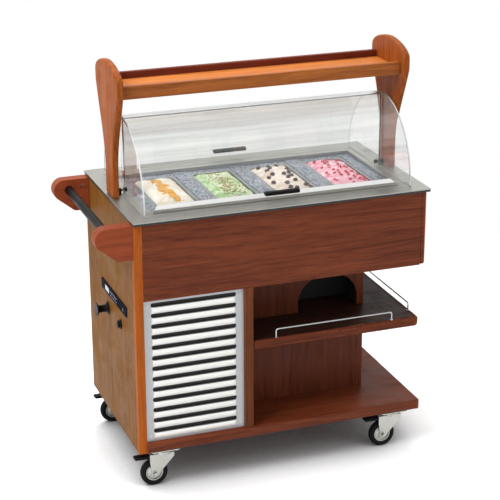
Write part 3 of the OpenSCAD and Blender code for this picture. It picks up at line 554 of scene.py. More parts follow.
# %% The hammered finish
def hammered(name, colour, frost, hollow):
    """Frosted sheet with a close pattern of dents."""
    made, tree, shader, where = new_finish(name)
    shader.inputs["Metallic"].default_value = 0.45
    dents = put(tree, "TexVoronoi", {"Scale": 150})
    wire(tree, where, dents.inputs["Vector"])
    depth = dents.outputs["Distance"]
    frosted = spread(tree, cloud(tree, where, 60, 5, 0.7), 0.35, 0.65)
    pale = blend_colours(tree, frosted, colour, frost)
    shaded = blend_colours(tree, spread(tree, depth, 0.25, 0.6), pale, hollow)
    end_finish(tree, shader, where, shaded, 0.38, 0.2, depth, 0.5, 0.0012, wear=0.2)
    return made


finishes["cold_plate"] = hammered("cold_plate", screen(178, 184, 194), screen(214, 218, 224),
                                  screen(88, 96, 112))
print("frame:", finishes["cold_plate"].name)


# %% [markdown]
# ## The label rail
#
# The rail in front of the well is one bent strip: a white label on its slope, bare
# steel on the foot below. Two pieces would need a joint line that the real one hasn't
# got, so one finish changes at a height. Paper is uneven, steel is brushed.


# %% The label rail's finish
def label_rail(name, line, label, steel):
    """A white label over the height line, brushed steel under it."""
    made, tree, shader, where = new_finish(name)
    on_label = spread(tree, xyz(tree, where)["Z"], line, line + 0.0002)
    lines = use_effect(tree, brush_marks, stretched(tree, where, (9, 900, 900)), Amount=0.5)
    streaked = blend_colours(tree, lines["Streak"], steel, dimmed(steel, 0.7))
    paper = blend_colours(tree, cloud(tree, where, 30, 3, 0.6), label, dimmed(label, 0.95))
    wire(tree, spread(tree, on_label, 0, 1, 0.9, 0), shader.inputs["Metallic"])
    end_finish(tree, shader, where, blend_colours(tree, on_label, streaked, paper), 0.32, 0.12,
               lines["Height"], 0.02, 0.0004, wear=0.1, wear_to=WHITE_METAL)
    return made


LABEL_FOOT = 1.0185
finishes["strip_white"] = label_rail("strip_white", LABEL_FOOT, screen(254, 254, 254),
                                     screen(160, 158, 152))
print("label starts", LABEL_FOOT, "m over the floor")

# %% [markdown]
# ## Clear acrylic
#
# The lids are real four-millimetre walls, so plain glass bends and tints what is
# behind them. Lamps would cast hard dark shadows through such glass, so for shadow
# rays, and for light that has already bounced off something matt, the wall is a
# plain clear film. Faint wiped dust tints it, less on the upright end plates.
# Metallic and Transmission Weight stay plain numbers, as the export wants of glass.

# %% The clear finish
clear, tree, shader, where = new_finish("clear_acrylic")
shader.inputs["Transmission Weight"].default_value = 1.0
shader.inputs["Roughness"].default_value = 0.02
shader.inputs["IOR"].default_value = 1.49
normal_x = xyz(tree, put(tree, "TexCoord").outputs["Normal"])["X"]
on_sheet = spread(tree, calc(tree, "ABSOLUTE", normal_x), 0, 1, 1.0, 0.25)
wiped = cloud(tree, stretched(tree, where, (0.9, 30, 30)), 1, 6, 0.7)
dust = times(tree, spread(tree, wiped, 0.35, 0.65), on_sheet)
tinted = blend_colours(tree, dust, screen(253, 254, 253), screen(230, 231, 229))
wire(tree, tinted, shader.inputs["Base Color"])
bumped(tree, shader, cloud(tree, where, 7, 2, 0.4), 0.02, 0.0005)
film = put(tree, "BsdfTransparent", {"Color": (0.97, 0.975, 0.975, 1)})
rays = put(tree, "LightPath").outputs
soft_rays = calc(tree, "MAXIMUM", rays["Is Shadow Ray"], rays["Is Diffuse Ray"])
end_with(tree, mixed_shader(tree, soft_rays, shader.outputs[0], film.outputs[0]))
finishes["clear"] = clear
print("clear acrylic:", len(tree.nodes), "nodes")


# %% [markdown]
# ## Ice cream
#
# Churned ice cream is matt with a wet sheen, a little light goes into it, and its
# surface has fine crystals and soft folds. Crystals are too fine for a mesh, so they
# and the swirl of the flavour are in the material: the crystals give bump, and
# near-white painted glints in the colour. The folds are in the mesh, where they cast
# shadows. Subsurface light keeps the shadows soft, as in the real thing.


# %% The ice cream finish
def ice_cream(name, pale, deep):
    """Churned ice cream, its flavour swirled from pale to deep."""
    made, tree, shader, where = new_finish(name)
    shader.inputs["Subsurface Weight"].default_value = 0.25
    shader.inputs["Subsurface Scale"].default_value = 0.01
    shader.inputs["Subsurface Radius"].default_value = (1.0, 0.8, 0.7)
    swirl = spread(tree, cloud(tree, where, 14.0, 6, 0.68, 1.8), 0.38, 0.62)
    crystals = cloud(tree, where, 420, 5, 0.75)
    # Painted glints: where the crystal noise is high, the colour turns towards near-white.
    glint = spread(tree, crystals, 0.55, 0.75, 0, 0.7)
    flavour = blend_colours(tree, swirl, screen(*pale), screen(*deep))
    colour = blend_colours(tree, glint, flavour, (0.95, 0.95, 0.95, 1))
    churned = times(tree, cloud(tree, where, 60, 5, 0.7, 0.6), 0.8)
    height = calc(tree, "ADD", churned, times(tree, crystals, 0.3))
    end_finish(tree, shader, where, colour, 0.42, 0.2, height, 0.5, 0.003, wear=0.0)
    return made


FLAVOURS = {
    "cream_vanilla": ((255, 252, 244), (238, 226, 196)),
    "cream_pistachio": ((234, 244, 212), (146, 198, 116)),
    "cream_cherry": ((254, 247, 238), (222, 200, 180)),
    "cream_berry": ((254, 222, 230), (228, 120, 152)),
}
finishes.update({name: ice_cream(name, *look) for name, look in FLAVOURS.items()})
print("finishes:", len(finishes))
print("slots without a finish:", sorted(set(slot_of.values()) - set(finishes)))


# %% [markdown]
# ## Dressing the CAD sub-parts
#
# A sub-part whose form is right only lacks soft edges, and no real board or casting
# has an edge without a small round that catches the light. The CAD mesh itself stays
# as it is: a copy is merged, cleaned of the lines between flat faces, and gets a
# Bevel modifier on what is still sharp. It stands for the sub-part on the same body.


# %% Clean copies, new pieces and soft edges
def flat_cleaned(node):
    """A bmesh of a CAD sub-part, merged and without lines across flat faces."""
    bm = bmesh.new()
    bm.from_mesh(nodes[node].data)
    bmesh.ops.remove_doubles(bm, verts=bm.verts[:], dist=2e-6)
    bmesh.ops.dissolve_limit(bm, angle_limit=math.radians(0.4), verts=bm.verts[:],
                             edges=bm.edges[:])
    return bm


def add_piece(name, bm, finish, body, replaces=(), smooth=38):
    """Makes an object from a bmesh, gives it its finish and lets it ride on a body."""
    mesh = bpy.data.meshes.new(name)
    bm.to_mesh(mesh)
    bm.free()
    for face in mesh.polygons:
        face.use_smooth = True
    mesh.set_sharp_from_angle(angle=math.radians(smooth))
    made = bpy.data.objects.new(name, mesh)
    bpy.context.scene.collection.objects.link(made)
    mesh.materials.append(finishes[finish])
    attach(made, body)
    if replaces:
        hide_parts(*replaces)
    return made


def soften(made, edge, rounds=2, corner=32):
    """Rounds a piece's sharp edges with a Bevel modifier."""
    bevel = made.modifiers.new("soft edges", "BEVEL")
    bevel.width = edge
    bevel.segments = rounds
    bevel.limit_method = "ANGLE"
    bevel.angle_limit = math.radians(corner)
    bevel.harden_normals = True


def dress(node, edge, rounds=2, finish=None):
    """Stands a soft-edged copy in for a CAD sub-part."""
    made = add_piece(node + "_softened", flat_cleaned(node), finish or slot_of[node],
                     nodes[node]["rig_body"], [node])
    soften(made, edge, rounds)


# %% [markdown]
# How much each edge is rounded follows the photograph: the brackets and the shelves
# are rounded like a bar of soap, sheet metal hardly at all. A table of widths in
# millimetres is easier to tune than a call for each piece. A sub-part that isn't in
# the table stays as the CAD has it and only gets its finish.

# %% Dress the sub-parts
MM = 0.001
CORNERS = ("fl", "fr", "rl", "rr")
EDGES = {
    "side_panel": 2.5, "divider_panel": 1.5, "base_board": 13, "mid_shelf": 13,
    "apron_front": 1.5, "apron_right": 7, "apron_rear": 1.5, "rear_panels": 1.5,
    "bay_side_panel": 1, "bay_back_panel": 1, "worktop": 0.8, "worktop_board": 1,
    "tray_board": 1.5, "tray_rails": 3, "handle_brackets": 11, "handle_bar": 2,
    "control_panel": 0.8, "cord_cleat": 1.5, "cable_gland": 1, "pan_frame": 1.2,
    "label_strip": 0.8, "compressor": 2, "recess_liner": 0.8, "canopy_pivots": 0.8,
    "power_button": 0.6, "front_lid_handle": 3, "rear_lid_handle": 3,
}
EDGES.update({f"pan_{i}": 0.6 for i in range(1, 5)})
for corner in CORNERS:
    EDGES.update({"fork_" + corner: 0.8, "pedal_" + corner: 1.5})
ROUNDS = {"handle_brackets": 6, "base_board": 5, "mid_shelf": 5, "apron_right": 4,
          "tray_rails": 3, "front_lid_handle": 3, "rear_lid_handle": 3}
OTHER_FINISH = {"tray_board": "tray_wood", "tray_rails": "rail_wood", "mid_shelf": "shelf_wood_painted_shade",
                "bay_side_panel": "bay_back_wood", "bay_back_panel": "bay_back_wood",
                "divider_panel": "divider_wood", "canopy_pivots": "black_plastic"}
for node, edge in EDGES.items():
    dress(node, edge * MM, ROUNDS.get(node, 2), OTHER_FINISH.get(node))
for node, obj in nodes.items():
    obj.data.materials.clear()
    obj.data.materials.append(finishes[slot_of[node]])
    for face in obj.data.polygons:
        face.material_index = 0
print("soft-edged:", len(EDGES))

# %% [markdown]
# ## The clear lids
#
# Each lid is a bent sheet with two flat ends bonded in. Sawn and polished acrylic
# edges look frosted. The top edge, seen through the sheet, looks dark; that darkness
# is painted on as a dark grey finish. Separate strips could show that, but picking the
# faces keeps the sheet one closed wall: those that are only as wide as the thickness
# get an edge finish. Two cuts across the lid part the end plates' rims from the sheet.

# %% Lids with frosted edges
PIVOT_Z = 1.025
END_PLATE = 0.005
TOP_EDGE = 0.012
LID_RADIUS = {"front_lid": 0.270, "rear_lid": 0.263}


def make_lid(node, radius):
    """A lid's softened copy, with its thin edges given their own finishes."""
    bm = flat_cleaned(node)
    lo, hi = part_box(node)
    for x in (lo.x + END_PLATE, hi.x - END_PLATE):
        bmesh.ops.bisect_plane(bm, geom=bm.verts[:] + bm.edges[:] + bm.faces[:], dist=1e-6,
                               plane_co=(x, 0, 0), plane_no=(1, 0, 0))
    made = add_piece(node + "_sheet", bm, "clear", nodes[node]["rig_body"], [node])
    made.data.materials.append(finishes["frosted_edge"])
    made.data.materials.append(finishes["lid_top_edge_painted_dark"])
    frosted = 0
    for face in made.data.polygons:
        centre, out = face.center, face.normal
        rim = min(centre.x - lo.x, hi.x - centre.x) < END_PLATE
        outside = Vector((0, centre.y, centre.z - PIVOT_Z)).length > radius - MM
        foot = abs(out.z) > 0.98 and centre.z < PIVOT_Z
        if abs(out.x) < 0.1 and (rim and outside or foot):
            face.material_index = 1
            frosted += 1
        elif abs(out.y) > 0.9 and centre.z > PIVOT_Z + radius - TOP_EDGE:
            # The top edge faces get the painted dark grey finish.
            face.material_index = 2
    print(node, "frosted faces:", frosted)
    soften(made, 0.6 * MM)


for node, radius in LID_RADIUS.items():
    make_lid(node, radius)

# %% [markdown]
# ## The posts
#
# The posts are sawn from board to a smooth outline, narrow at the foot and swelling
# to a rounded head, and every edge is well rounded over by hand. The CAD has that
# outline in short straight steps. Here a ring of vertices follows the same width at
# each height, closer together near the head where it curves most, is closed with one
# face, and an extrusion pushes it through the board's thickness.

# %% Two sawn posts
POST_FOOT, POST_TOP, POST_THICK = 1.009, 1.4945, 0.024
POST_HALF_FOOT, POST_HALF_HEAD = 0.047, 0.143
SWELL_FROM, SWELL_OVER, HEAD_FROM = 0.110, 0.280, 0.430
POST_STEPS = 60


def post_half(h):
    """Half the post's width at a height h over the worktop."""
    if h > HEAD_FROM:
        c = (h - HEAD_FROM) / (POST_TOP - POST_FOOT - HEAD_FROM)
        return POST_HALF_HEAD * max(1 - c ** 2.1, 0) ** 0.62
    t = min(max((h - SWELL_FROM) / SWELL_OVER, 0), 1)
    swell = 0.15 * t + 1.7 * t ** 2 - 0.85 * t ** 3
    return POST_HALF_FOOT + (POST_HALF_HEAD - POST_HALF_FOOT) * swell


post_lo, post_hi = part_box("posts")
rise = POST_TOP - POST_FOOT
heights = [rise * (1 - (1 - i / POST_STEPS) ** 1.7) for i in range(POST_STEPS + 1)]
bm = bmesh.new()
for x in (post_lo.x, post_hi.x - POST_THICK):
    ring = [bm.verts.new((x, -post_half(h), POST_FOOT + h)) for h in heights]
    ring += [bm.verts.new((x, post_half(h), POST_FOOT + h)) for h in reversed(heights[:-1])]
    grown = bmesh.ops.extrude_face_region(bm, geom=[bm.faces.new(ring)])
    moved = [v for v in grown["geom"] if isinstance(v, bmesh.types.BMVert)]
    bmesh.ops.translate(bm, verts=moved, vec=(POST_THICK, 0, 0))
bmesh.ops.remove_doubles(bm, verts=bm.verts[:], dist=1e-6)
bmesh.ops.recalc_face_normals(bm, faces=bm.faces[:])
posts = add_piece("posts_sawn", bm, "post_wood", "cart", ["posts"])
soften(posts, 0.0075, 5, 40)
print("posts:", len(posts.data.polygons), "faces before rounding")

# %% [markdown]
# ## The louvred grille
#
# Each louvre is pressed out of the sheet: closed below and at its ends, open above,
# where the black slot shows. Slots could be cut with a Boolean, which leaves long
# thin faces. Here the sheet is a grid of cells with the slots left out, and small
# fans of triangles round each slot's corners. Solidify gives it its wall.


# %% Helpers for thin sheet
def face_towards(bm, axis, way):
    """Makes the faces agree, and turns them so that they mostly look that way."""
    bmesh.ops.recalc_face_normals(bm, faces=bm.faces[:])
    if way * sum(f.normal[axis] for f in bm.faces) < 0:
        bmesh.ops.reverse_faces(bm, faces=bm.faces[:])


def unit_grid(bm, columns, rows):
    """The points of a flat grid, each with its place from 0 to 1 across and up."""
    points = bmesh.ops.create_grid(bm, x_segments=columns, y_segments=rows, size=0.5)["verts"]
    return [(v, v.co.x + 0.5, v.co.y + 0.5) for v in points]


def thicken(made, wall):
    """Gives a sheet its wall, behind its face."""
    solid = made.modifiers.new("wall", "SOLIDIFY")
    solid.thickness, solid.offset = wall, -1


# %% Grille sheet with its slots
LOUVRES, LOUVRE_OUT = 13, 0.0072
SLOT_TALL, SLOT_ROUND = 0.0150, 0.0068
MARGIN_SIDE, MARGIN_FOOT, MARGINS_TALL = 0.028, 0.009, 0.020
SHEET_INSET, HOOD_GAP = 0.007, 0.0008
ARC_STEPS = 8
grille_lo, grille_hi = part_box("grille")
sheet_y = grille_lo.y + SHEET_INSET
pitch = (grille_hi.z - grille_lo.z - MARGINS_TALL) / LOUVRES
hood_tall = pitch - SLOT_TALL - HOOD_GAP
hood_x0, hood_x1 = grille_lo.x + MARGIN_SIDE, grille_hi.x - MARGIN_SIDE
hood_z = [grille_lo.z + MARGIN_FOOT + i * pitch for i in range(LOUVRES)]

lines_x = [grille_lo.x, hood_x0, hood_x1, grille_hi.x]
lines_z = [grille_lo.z]
for z0 in hood_z:
    lines_z += [z0 + hood_tall, z0 + hood_tall + SLOT_TALL]
lines_z.append(grille_hi.z)
bm = bmesh.new()
cells = [[bm.verts.new((x, sheet_y, z)) for x in lines_x] for z in lines_z]
for row, (low, high) in enumerate(zip(cells, cells[1:])):
    for column in range(3):
        if column != 1 or row % 2 == 0:
            bm.faces.new((low[column], low[column + 1], high[column + 1], high[column]))
for row in range(1, len(lines_z) - 1, 2):
    for column, inward in ((1, 1), (2, -1)):
        for corner, up in ((cells[row][column], 1), (cells[row + 1][column], -1)):
            arc = [bm.verts.new(corner.co + SLOT_ROUND * Vector(
                (inward * (1 - math.sin(a)), 0, up * (1 - math.cos(a)))))
                for a in (math.pi / 2 * k / ARC_STEPS for k in range(ARC_STEPS + 1))]
            for a, b in zip(arc, arc[1:]):
                bm.faces.new((corner, a, b))
face_towards(bm, 1, -1)
# The flat plate takes the darker copy of the silver, painted shade beside the bright hoods.
sheet = add_piece("grille_sheet", bm, "grille_plate_painted_shade", "cart", ["grille"])
thicken(sheet, 2 * MM)
soften(sheet, 0.6 * MM)
print("louvre pitch", round(pitch / MM, 1), "mm, hood", round(hood_tall / MM, 1), "mm")

# %% [markdown]
# The hoods are what the light plays on. A plain wedge would do for a distant view,
# but the pressed ones swell quickly from the sheet, roll in a little at their lip,
# and die away at the ends. So each is a grid whose depth follows a quarter of a sine
# upwards and a quarter circle at each end.

# %% The pressed hoods
LIP_FROM, LIP_ROLL, HOOD_END = 0.72, 0.0016, 0.016
bm = bmesh.new()
for z0 in hood_z:
    for v, u, t in unit_grid(bm, 56, 12):
        x = hood_x0 + u * (hood_x1 - hood_x0)
        near_end = min(x - hood_x0, hood_x1 - x) / HOOD_END
        taper = math.sqrt(max(1 - (1 - min(near_end, 1)) ** 2, 0))
        swell = math.sin(math.pi / 2 * min(t / LIP_FROM, 1)) ** 0.75
        roll = LIP_ROLL * (max(t - LIP_FROM, 0) / (1 - LIP_FROM)) ** 2
        out = taper * (LOUVRE_OUT * swell - roll)
        v.co = (x, sheet_y - out, z0 + t * hood_tall)
face_towards(bm, 1, -1)
hoods = add_piece("grille_hoods", bm, "grille_silver", "cart", smooth=60)
thicken(hoods, 1.2 * MM)
print("hoods:", LOUVRES)

# %% [markdown]
# Behind the grille hangs a near-black sheet of painted shade, so that the slots show
# only darkness. Without it daylight from the rear vent shows through the slots, and
# the machines behind look like a jumble. It is one soft, slightly wavy sheet, a
# little smaller than the grille.

# %% The painted shade sheet behind the grille
SHADE_SHEET_INSET, SHADE_SHEET_BEHIND, SHADE_SHEET_WAVE = 0.004, 0.0045, 0.0008
shade_sheet_wide = grille_hi.x - grille_lo.x - 2 * SHADE_SHEET_INSET
shade_sheet_tall = grille_hi.z - grille_lo.z - 2 * SHADE_SHEET_INSET
bm = bmesh.new()
for v, u, t in unit_grid(bm, 30, 40):
    wave = SHADE_SHEET_WAVE * math.sin(22 * u) * math.sin(31 * t)
    v.co = (grille_lo.x + SHADE_SHEET_INSET + shade_sheet_wide * u, sheet_y + SHADE_SHEET_BEHIND + wave,
            grille_lo.z + SHADE_SHEET_INSET + shade_sheet_tall * t)
# A near-black sheet of painted shade behind the slots.
shade_sheet = add_piece("grille_shade_sheet", bm, "recess_black", "cart", smooth=60)
thicken(shade_sheet, 2 * MM)
print("mat:", round(shade_sheet_wide, 3), "by", round(shade_sheet_tall, 3), "m")

# %% [markdown]
# ## Wheels
#
# A caster wheel is a rubber tyre on a zinc-plated pressed wheel. The CAD wheel is a
# plain disc that rolls well; these two are turned shapes, so a closed outline is spun
# round the axle. The tyre has a crowned tread and rounded shoulders, the wheel a rim,
# a dished web and a hub boss. Outlines are given as (radius, width) in millimetres.

# %% Turned tyres and wheels
TYRE = [(31.6, -9), (33.5, -11.2), (41, -12), (46, -11), (49, -8), (50, -3.5),
        (50, 3.5), (49, 8), (46, 11), (41, 12), (33.5, 11.2), (31.6, 9)]
HALF_WHEEL = [(5.4, -12.4), (12, -12.4), (13.6, -11.4), (14.4, -7.5), (17, -6), (25, -5.5),
              (27.4, -7.6), (28.4, -9.6), (31.2, -9.8), (31.5, -8.6)]
WHEEL = HALF_WHEEL + [(r, -w) for r, w in reversed(HALF_WHEEL)]


def turned(outline, centre, steps=64):
    """A closed outline of (radius, width) in millimetres, spun round the Y axis."""
    bm = bmesh.new()
    ring = [bm.verts.new((centre.x + r * MM, centre.y + w * MM, centre.z)) for r, w in outline]
    edges = [bm.edges.new((a, b)) for a, b in zip(ring, ring[1:] + ring[:1])]
    bmesh.ops.spin(bm, geom=ring + edges, cent=centre, axis=(0, 1, 0), angle=math.tau,
                   steps=steps, use_merge=True)
    bmesh.ops.remove_doubles(bm, verts=bm.verts[:], dist=1e-6)
    bmesh.ops.recalc_face_normals(bm, faces=bm.faces[:])
    return bm


hub = {}
for corner in CORNERS:
    wheel = "wheel_" + corner
    lo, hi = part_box(wheel)
    hub[corner] = (lo + hi) / 2
    add_piece("tyre_" + corner, turned(TYRE, hub[corner]), "wheel_rubber", wheel, [wheel],
              smooth=60)
    add_piece("wheel_plate_" + corner, turned(WHEEL, hub[corner]), "zinc", wheel,
              smooth=30)
print("wheels:", len(hub), "with", len(TYRE) + len(WHEEL), "points in their outlines")

# %% [markdown]
# A domed nut closes each end of the axle. It is turned in the same way, starts on the
# fork's outer face, and stays with the fork while the wheel turns.

# %% Axle nuts
NUT = [(0.01, 2.6), (4.6, 2.6), (6.0, 2.0), (6.8, 0.4), (6.8, -0.4), (0.01, -0.4)]
for corner in CORNERS:
    fork = "fork_" + corner
    boss = (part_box(fork)[1].y - hub[corner].y) / MM
    for side, way in (("front", -1), ("rear", 1)):
        bm = turned([(r, (w + boss) * way) for r, w in NUT], hub[corner], 24)
        add_piece(f"axle_nut_{corner}_{side}", bm, "bolt_steel", fork)
print("axle nuts:", 2 * len(CORNERS))

# %% [markdown]
# ## Marks on the control strip
#
# The strip's display is a pale window with a few plain marks beside it. Painted on,
# they would be flat; as thin chamfered plates on its face their edges catch light by
# themselves.

# %% Display and marks
strip_lo, strip_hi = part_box("control_panel")
strip_mid = (strip_lo.z + strip_hi.z) / 2
WINDOW_Y, MARK_Y, MARK_STEP, MARKS = 0.082, 0.128, 0.018, 5


def plate(bm, y, z, half_y, half_z, out):
    """A thin plate with chamfered corners on the control strip's face."""
    made = bmesh.ops.create_cube(bm, size=1)["verts"]
    for v in made:
        v.co = (strip_lo.x - out / 2 + v.co.x * out, y + v.co.y * 2 * half_y,
                z + v.co.z * 2 * half_z)
    ridges = {e for v in made for e in v.link_edges}
    bmesh.ops.bevel(bm, geom=list(ridges), offset=out * 0.4, offset_type="OFFSET", segments=2,
                    profile=0.5, affect="EDGES", clamp_overlap=True, material=-1)


bm = bmesh.new()
plate(bm, strip_hi.y - WINDOW_Y, strip_mid + 0.001, 0.025, 0.0095, 0.0008)
add_piece("display_window", bm, "display", "cart")
bm = bmesh.new()
for k in range(MARKS):
    y = strip_hi.y - MARK_Y - MARK_STEP * k
    plate(bm, y, strip_mid + 0.006, 0.0035, 0.0018, 0.0005)
    plate(bm, y, strip_mid - 0.007, 0.0050, 0.0012, 0.0005)
add_piece("strip_marks", bm, "display", "cart")
print("control strip: a window and", 2 * MARKS, "marks")

# %% [markdown]
# ## Ice cream and what is on it
#
# Each pan holds churned ice cream, heaped a little in the middle and folded by the
# spatula. Sculpting would have to be redone for each change of the pan, so the height
# is a function: a soft heap, a fall at the rim, and three sizes of noise for folds,
# ripples and crumbly fine forms. A fine grid takes the pan's rounded outline and that
# height. The same function then places the toppings, so each sits in the surface.

# %% The height of an ice cream
PAN_CORNER = 0.020
HEAP, RIM_RISE, RIM_WIDE = 0.011, 0.010, 0.006
FOLD, RIPPLE, FINE, SUNK = 0.0052, 0.0030, 0.0009, 0.001
SEED_STEP = 3.7


def in_pan(x, y, half_x, half_y, corner=PAN_CORNER):
    """Moves a point of a rectangle into the pan's rounded outline."""
    ix = max(min(x, half_x - corner), corner - half_x)
    iy = max(min(y, half_y - corner), corner - half_y)
    d = Vector((x - ix, y - iy))
    if d.x and d.y:
        d *= max(abs(d.x), abs(d.y)) / d.length
    return ix + d.x, iy + d.y


def cream_top(x, y, half_x, half_y, seed):
    """Height of the ice cream over its level at (x, y), measured from the pan's middle."""
    edge = min(half_x - abs(x), half_y - abs(y))
    heap = HEAP * (1 - (x / half_x) ** 2) * (1 - (y / half_y) ** 4)
    heap += RIM_RISE * (1 - math.exp(-edge / RIM_WIDE))
    fold = noise.noise(Vector((x * 16 + seed, y * 30 + 2.2 * math.sin(x * 26 + seed), seed)))
    ripple = noise.noise(Vector((x * 70, y * 110, seed + 4)))
    fine = noise.noise(Vector((x * 260, y * 260, seed + 9)))
    return heap + FOLD * fold + RIPPLE * ripple + FINE * fine - SUNK


print("heap:", round(HEAP + RIM_RISE, 3), "m before its folds")

# %% The four ice creams
CREAM_DEEP = 0.030
pans = {}
for i, flavour in enumerate(FLAVOURS, 1):
    lo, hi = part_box(f"ice_cream_{i}")
    centre, half = (lo + hi) / 2, (hi - lo) / 2
    pans[i] = (centre.x, centre.y, hi.z, half.x, half.y)
    bm = bmesh.new()
    grid = bmesh.ops.create_grid(bm, x_segments=70, y_segments=150, size=1)["verts"]
    for v in grid:
        x, y = in_pan(v.co.x * half.x, v.co.y * half.y, half.x, half.y)
        top = cream_top(x, y, half.x, half.y, i * SEED_STEP)
        v.co = (centre.x + x, centre.y + y, hi.z + top)
    rim_edges = [e for e in bm.edges if e.is_boundary]
    for v in bmesh.ops.extrude_edge_only(bm, edges=rim_edges)["geom"]:
        if isinstance(v, bmesh.types.BMVert):
            v.co.z = hi.z - CREAM_DEEP
    face_towards(bm, 2, 1)
    bmesh.ops.holes_fill(bm, edges=[e for e in bm.edges if e.is_boundary])
    add_piece(f"ice_cream_{i}_churned", bm, flavour, f"pan_{i}", [f"ice_cream_{i}"],
              smooth=80)
print("ice creams:", len(pans), "each of", len(grid), "points")

# %% [markdown]
# A ribbon of sauce, nut crumbs, cherries and berries lie on the four. Each is a lump:
# a ball, squashed, turned at random and dented by noise, since no two real ones are
# alike. Scattering them with a physics run would be slow and different each time; a
# seeded random list that keeps them apart gives the same picture on every run.

# %% Places and lumps
rng = random.Random(11)


def on_pan(i, u, v, sink=0.0):
    """A point on ice cream i, at u and v from -1 to 1 across and along the pan."""
    cx, cy, level, hx, hy = pans[i]
    x, y = u * hx, v * hy
    return Vector((cx + x, cy + y, level + cream_top(x, y, hx, hy, i * SEED_STEP) - sink))


def lumps(name, finish, body, places, detail, rough):
    """One piece of many round lumps, each (middle, half sizes), roughened by noise."""
    bm = bmesh.new()
    for n, (middle, size) in enumerate(places):
        ball = bmesh.ops.create_icosphere(bm, subdivisions=detail, radius=1)["verts"]
        turn = Matrix.Rotation(rng.uniform(0, math.tau), 3, "Z")
        for v in ball:
            dent = 1 + rough * noise.noise(v.co * 1.7 + Vector((n * 3.1, n * 1.7, n)))
            squashed = Vector((v.co.x * size[0], v.co.y * size[1], v.co.z * size[2]))
            v.co = middle + turn @ squashed * dent
    add_piece(name, bm, finish, body, smooth=80)
    print(name + ":", len(places))


def scattered(count, gap, reach_u, reach_v):
    """Random places in the pan that keep a gap from each other."""
    found = []
    while len(found) < count:
        u, v = rng.uniform(-reach_u, reach_u), rng.uniform(-reach_v, reach_v)
        if all((u - a) ** 2 + (2.3 * (v - b)) ** 2 > gap ** 2 for a, b in found):
            found.append((u, v))
    return found


def clipped_gauss(middle, width, limit):
    """A random number that mostly lies near the middle, and never past the limit."""
    return max(-limit, min(limit, rng.gauss(middle, width)))


# %% Sauce, crumbs, cherries and berries
CRUMBS, CHERRIES, BERRIES = 320, 19, 40
ribbon = [(-0.10 + 0.16 * k / 9 + rng.uniform(-0.06, 0.06), 0.62 - 1.30 * k / 9)
          for k in range(10)]
lumps("sauce_ribbon", "sauce", "pan_1",
      [(on_pan(1, u, v, 0.002), (rng.uniform(0.017, 0.026), rng.uniform(0.015, 0.021), 0.0060))
       for u, v in ribbon], 3, 0.5)
crumb_places = [(clipped_gauss(-0.05, 0.34, 0.9), clipped_gauss(-0.1, 0.5, 0.92))
                for _ in range(CRUMBS)]
lumps("nut_crumbs", "crumbs", "pan_2",
      [(on_pan(2, u, v, 0.0002),
        (rng.uniform(0.0024, 0.0046), rng.uniform(0.0020, 0.0036), 0.0020))
       for u, v in crumb_places], 1, 0.6)
lumps("cherries", "cherry", "pan_3",
      [(on_pan(3, u, v, -0.002), (0.0088, 0.0082, 0.0078))
       for u, v in scattered(CHERRIES, 0.34, 0.80, 0.86)], 3, 0.22)
lumps("berries", "berry", "pan_4",
      [(on_pan(4, u, v, -0.0012), (0.0066, 0.0056, 0.0052))
       for u, v in scattered(BERRIES, 0.21, 0.84, 0.88)], 2, 0.25)


# %% [markdown]
# ## Floor and backdrop
#
# The cart stands on a seamless white sheet that rises out of sight. A curved backdrop
# would show a fold from some sides, so here a wide flat floor turns by itself from
# lit paper near the cart to pure white further out. Under the cart the soft shadow is
# painted: where an ambient occlusion node finds little open sky, the paper's colour
# turns grey and its glow fades. Mirrors and clear pieces see the same white floor as
# the camera does.


# %% The floor
def seen_directly(tree):
    """1 for what the camera sees, also in a mirror or through glass, else 0."""
    rays = put(tree, "LightPath").outputs
    shiny = calc(tree, "MAXIMUM", rays["Is Glossy Ray"], rays["Is Transmission Ray"])
    return calc(tree, "MAXIMUM", rays["Is Camera Ray"], shiny)


FLOOR_HALF = 40.0
WHITE_FROM, WHITE_FULL = 1.3, 2.6
PAPER_GLOW = 0.42
bm = bmesh.new()
bmesh.ops.create_grid(bm, x_segments=2, y_segments=2, size=FLOOR_HALF)
floor_mesh = bpy.data.meshes.new("floor")
bm.to_mesh(floor_mesh)
bm.free()
floor = bpy.data.objects.new("floor", floor_mesh)
bpy.context.scene.collection.objects.link(floor)

paper, tree, shader, where = new_finish("floor_paper")
shader.inputs["Specular IOR Level"].default_value = 0.0
shader.inputs["Roughness"].default_value = 0.9
sky = put(tree, "AmbientOcclusion", {"Distance": 0.36}, samples=8).outputs["AO"]
openness = spread(tree, calc(tree, "POWER", sky, 1.6), 0.12, 0.72)
weave = cloud(tree, where, 40, 3, 0.5)
sheet = blend_colours(tree, weave, screen(246, 246, 246), screen(250, 250, 250))
# Painted shadow: the paper's colour turns grey where little sky is open.
shadowed = blend_colours(tree, openness, screen(160, 161, 164), sheet)
wire(tree, shadowed, shader.inputs["Base Color"])
seen = seen_directly(tree)
glow = put(tree, "Emission", {"Color": (1, 1, 1, 1)})
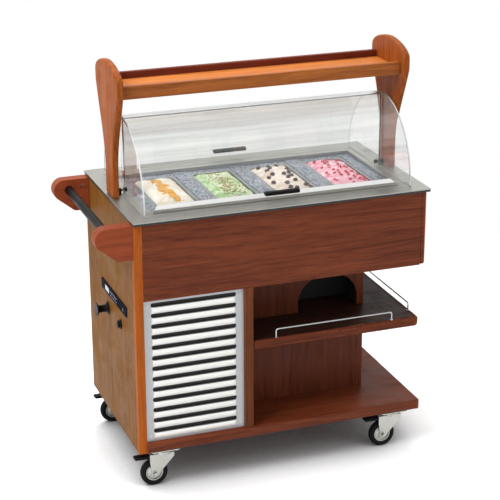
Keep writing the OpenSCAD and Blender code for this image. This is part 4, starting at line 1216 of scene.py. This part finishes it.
# The glow fades with the open sky too, so the painted shadow stays grey under the cart.
wire(tree, times(tree, seen, times(tree, openness, PAPER_GLOW)), glow.inputs["Strength"])
near = put(tree, "AddShader")
wire(tree, shader.outputs[0], near.inputs[0])
wire(tree, glow.outputs[0], near.inputs[1])
distance = put(tree, "VectorMath", operation="LENGTH")
wire(tree, where, distance.inputs[0])
away = spread(tree, distance.outputs["Value"], WHITE_FROM, WHITE_FULL)
white = put(tree, "Emission", {"Color": (1, 1, 1, 1), "Strength": 1.0})
end_with(tree, mixed_shader(tree, times(tree, seen, away), near.outputs[0], white.outputs[0]))
floor_mesh.materials.append(paper)
print("floor:", 2 * FLOOR_HALF, "m wide, white from", WHITE_FULL, "m")

# %% [markdown]
# ## World and lamps
#
# The photograph has plain, soft studio light: a large lamp from the upper left, a
# long one overhead that makes the worktop and the lids shine, and a weak one from the
# right. A pale world fills the shadows. It lights at half strength but is seen at
# full white, so metal and glass have something bright to show.

# %% World and lamps
world = bpy.data.worlds.new("studio")
bpy.context.scene.world = world
world.use_nodes = True
tree = world.node_tree
tree.nodes.clear()
room = put(tree, "Background", {"Color": (1, 1, 1, 1), "Strength": 0.52})
bright = put(tree, "Background", {"Color": (1, 1, 1, 1), "Strength": 1.0})
world_seen = mixed_shader(tree, seen_directly(tree), room.outputs[0], bright.outputs[0])
wire(tree, world_seen, put(tree, "OutputWorld").inputs[0])


def soft_lamp(name, place, size, watts, target=(0, 0, 0.8)):
    """A rectangular lamp at a place, turned towards the middle of the cart."""
    data = bpy.data.lights.new(name, "AREA")
    data.shape, data.size, data.size_y, data.energy = "RECTANGLE", size[0], size[1], watts
    lamp = bpy.data.objects.new(name, data)
    bpy.context.scene.collection.objects.link(lamp)
    lamp.location = place
    lamp.rotation_mode = "QUATERNION"
    lamp.rotation_quaternion = (Vector(target) - Vector(place)).to_track_quat("-Z", "Y")
    print(name, "lamp:", watts, "W")


soft_lamp("key", (-3.0, -1.6, 4.4), (1.8, 1.8), 130)
soft_lamp("overhead", (-0.4, 1.6, 4.2), (5.0, 1.0), 110)
soft_lamp("fill", (3.6, -3.0, 2.4), (2.4, 2.4), 30)
bpy.context.scene.view_settings.view_transform = "Standard"
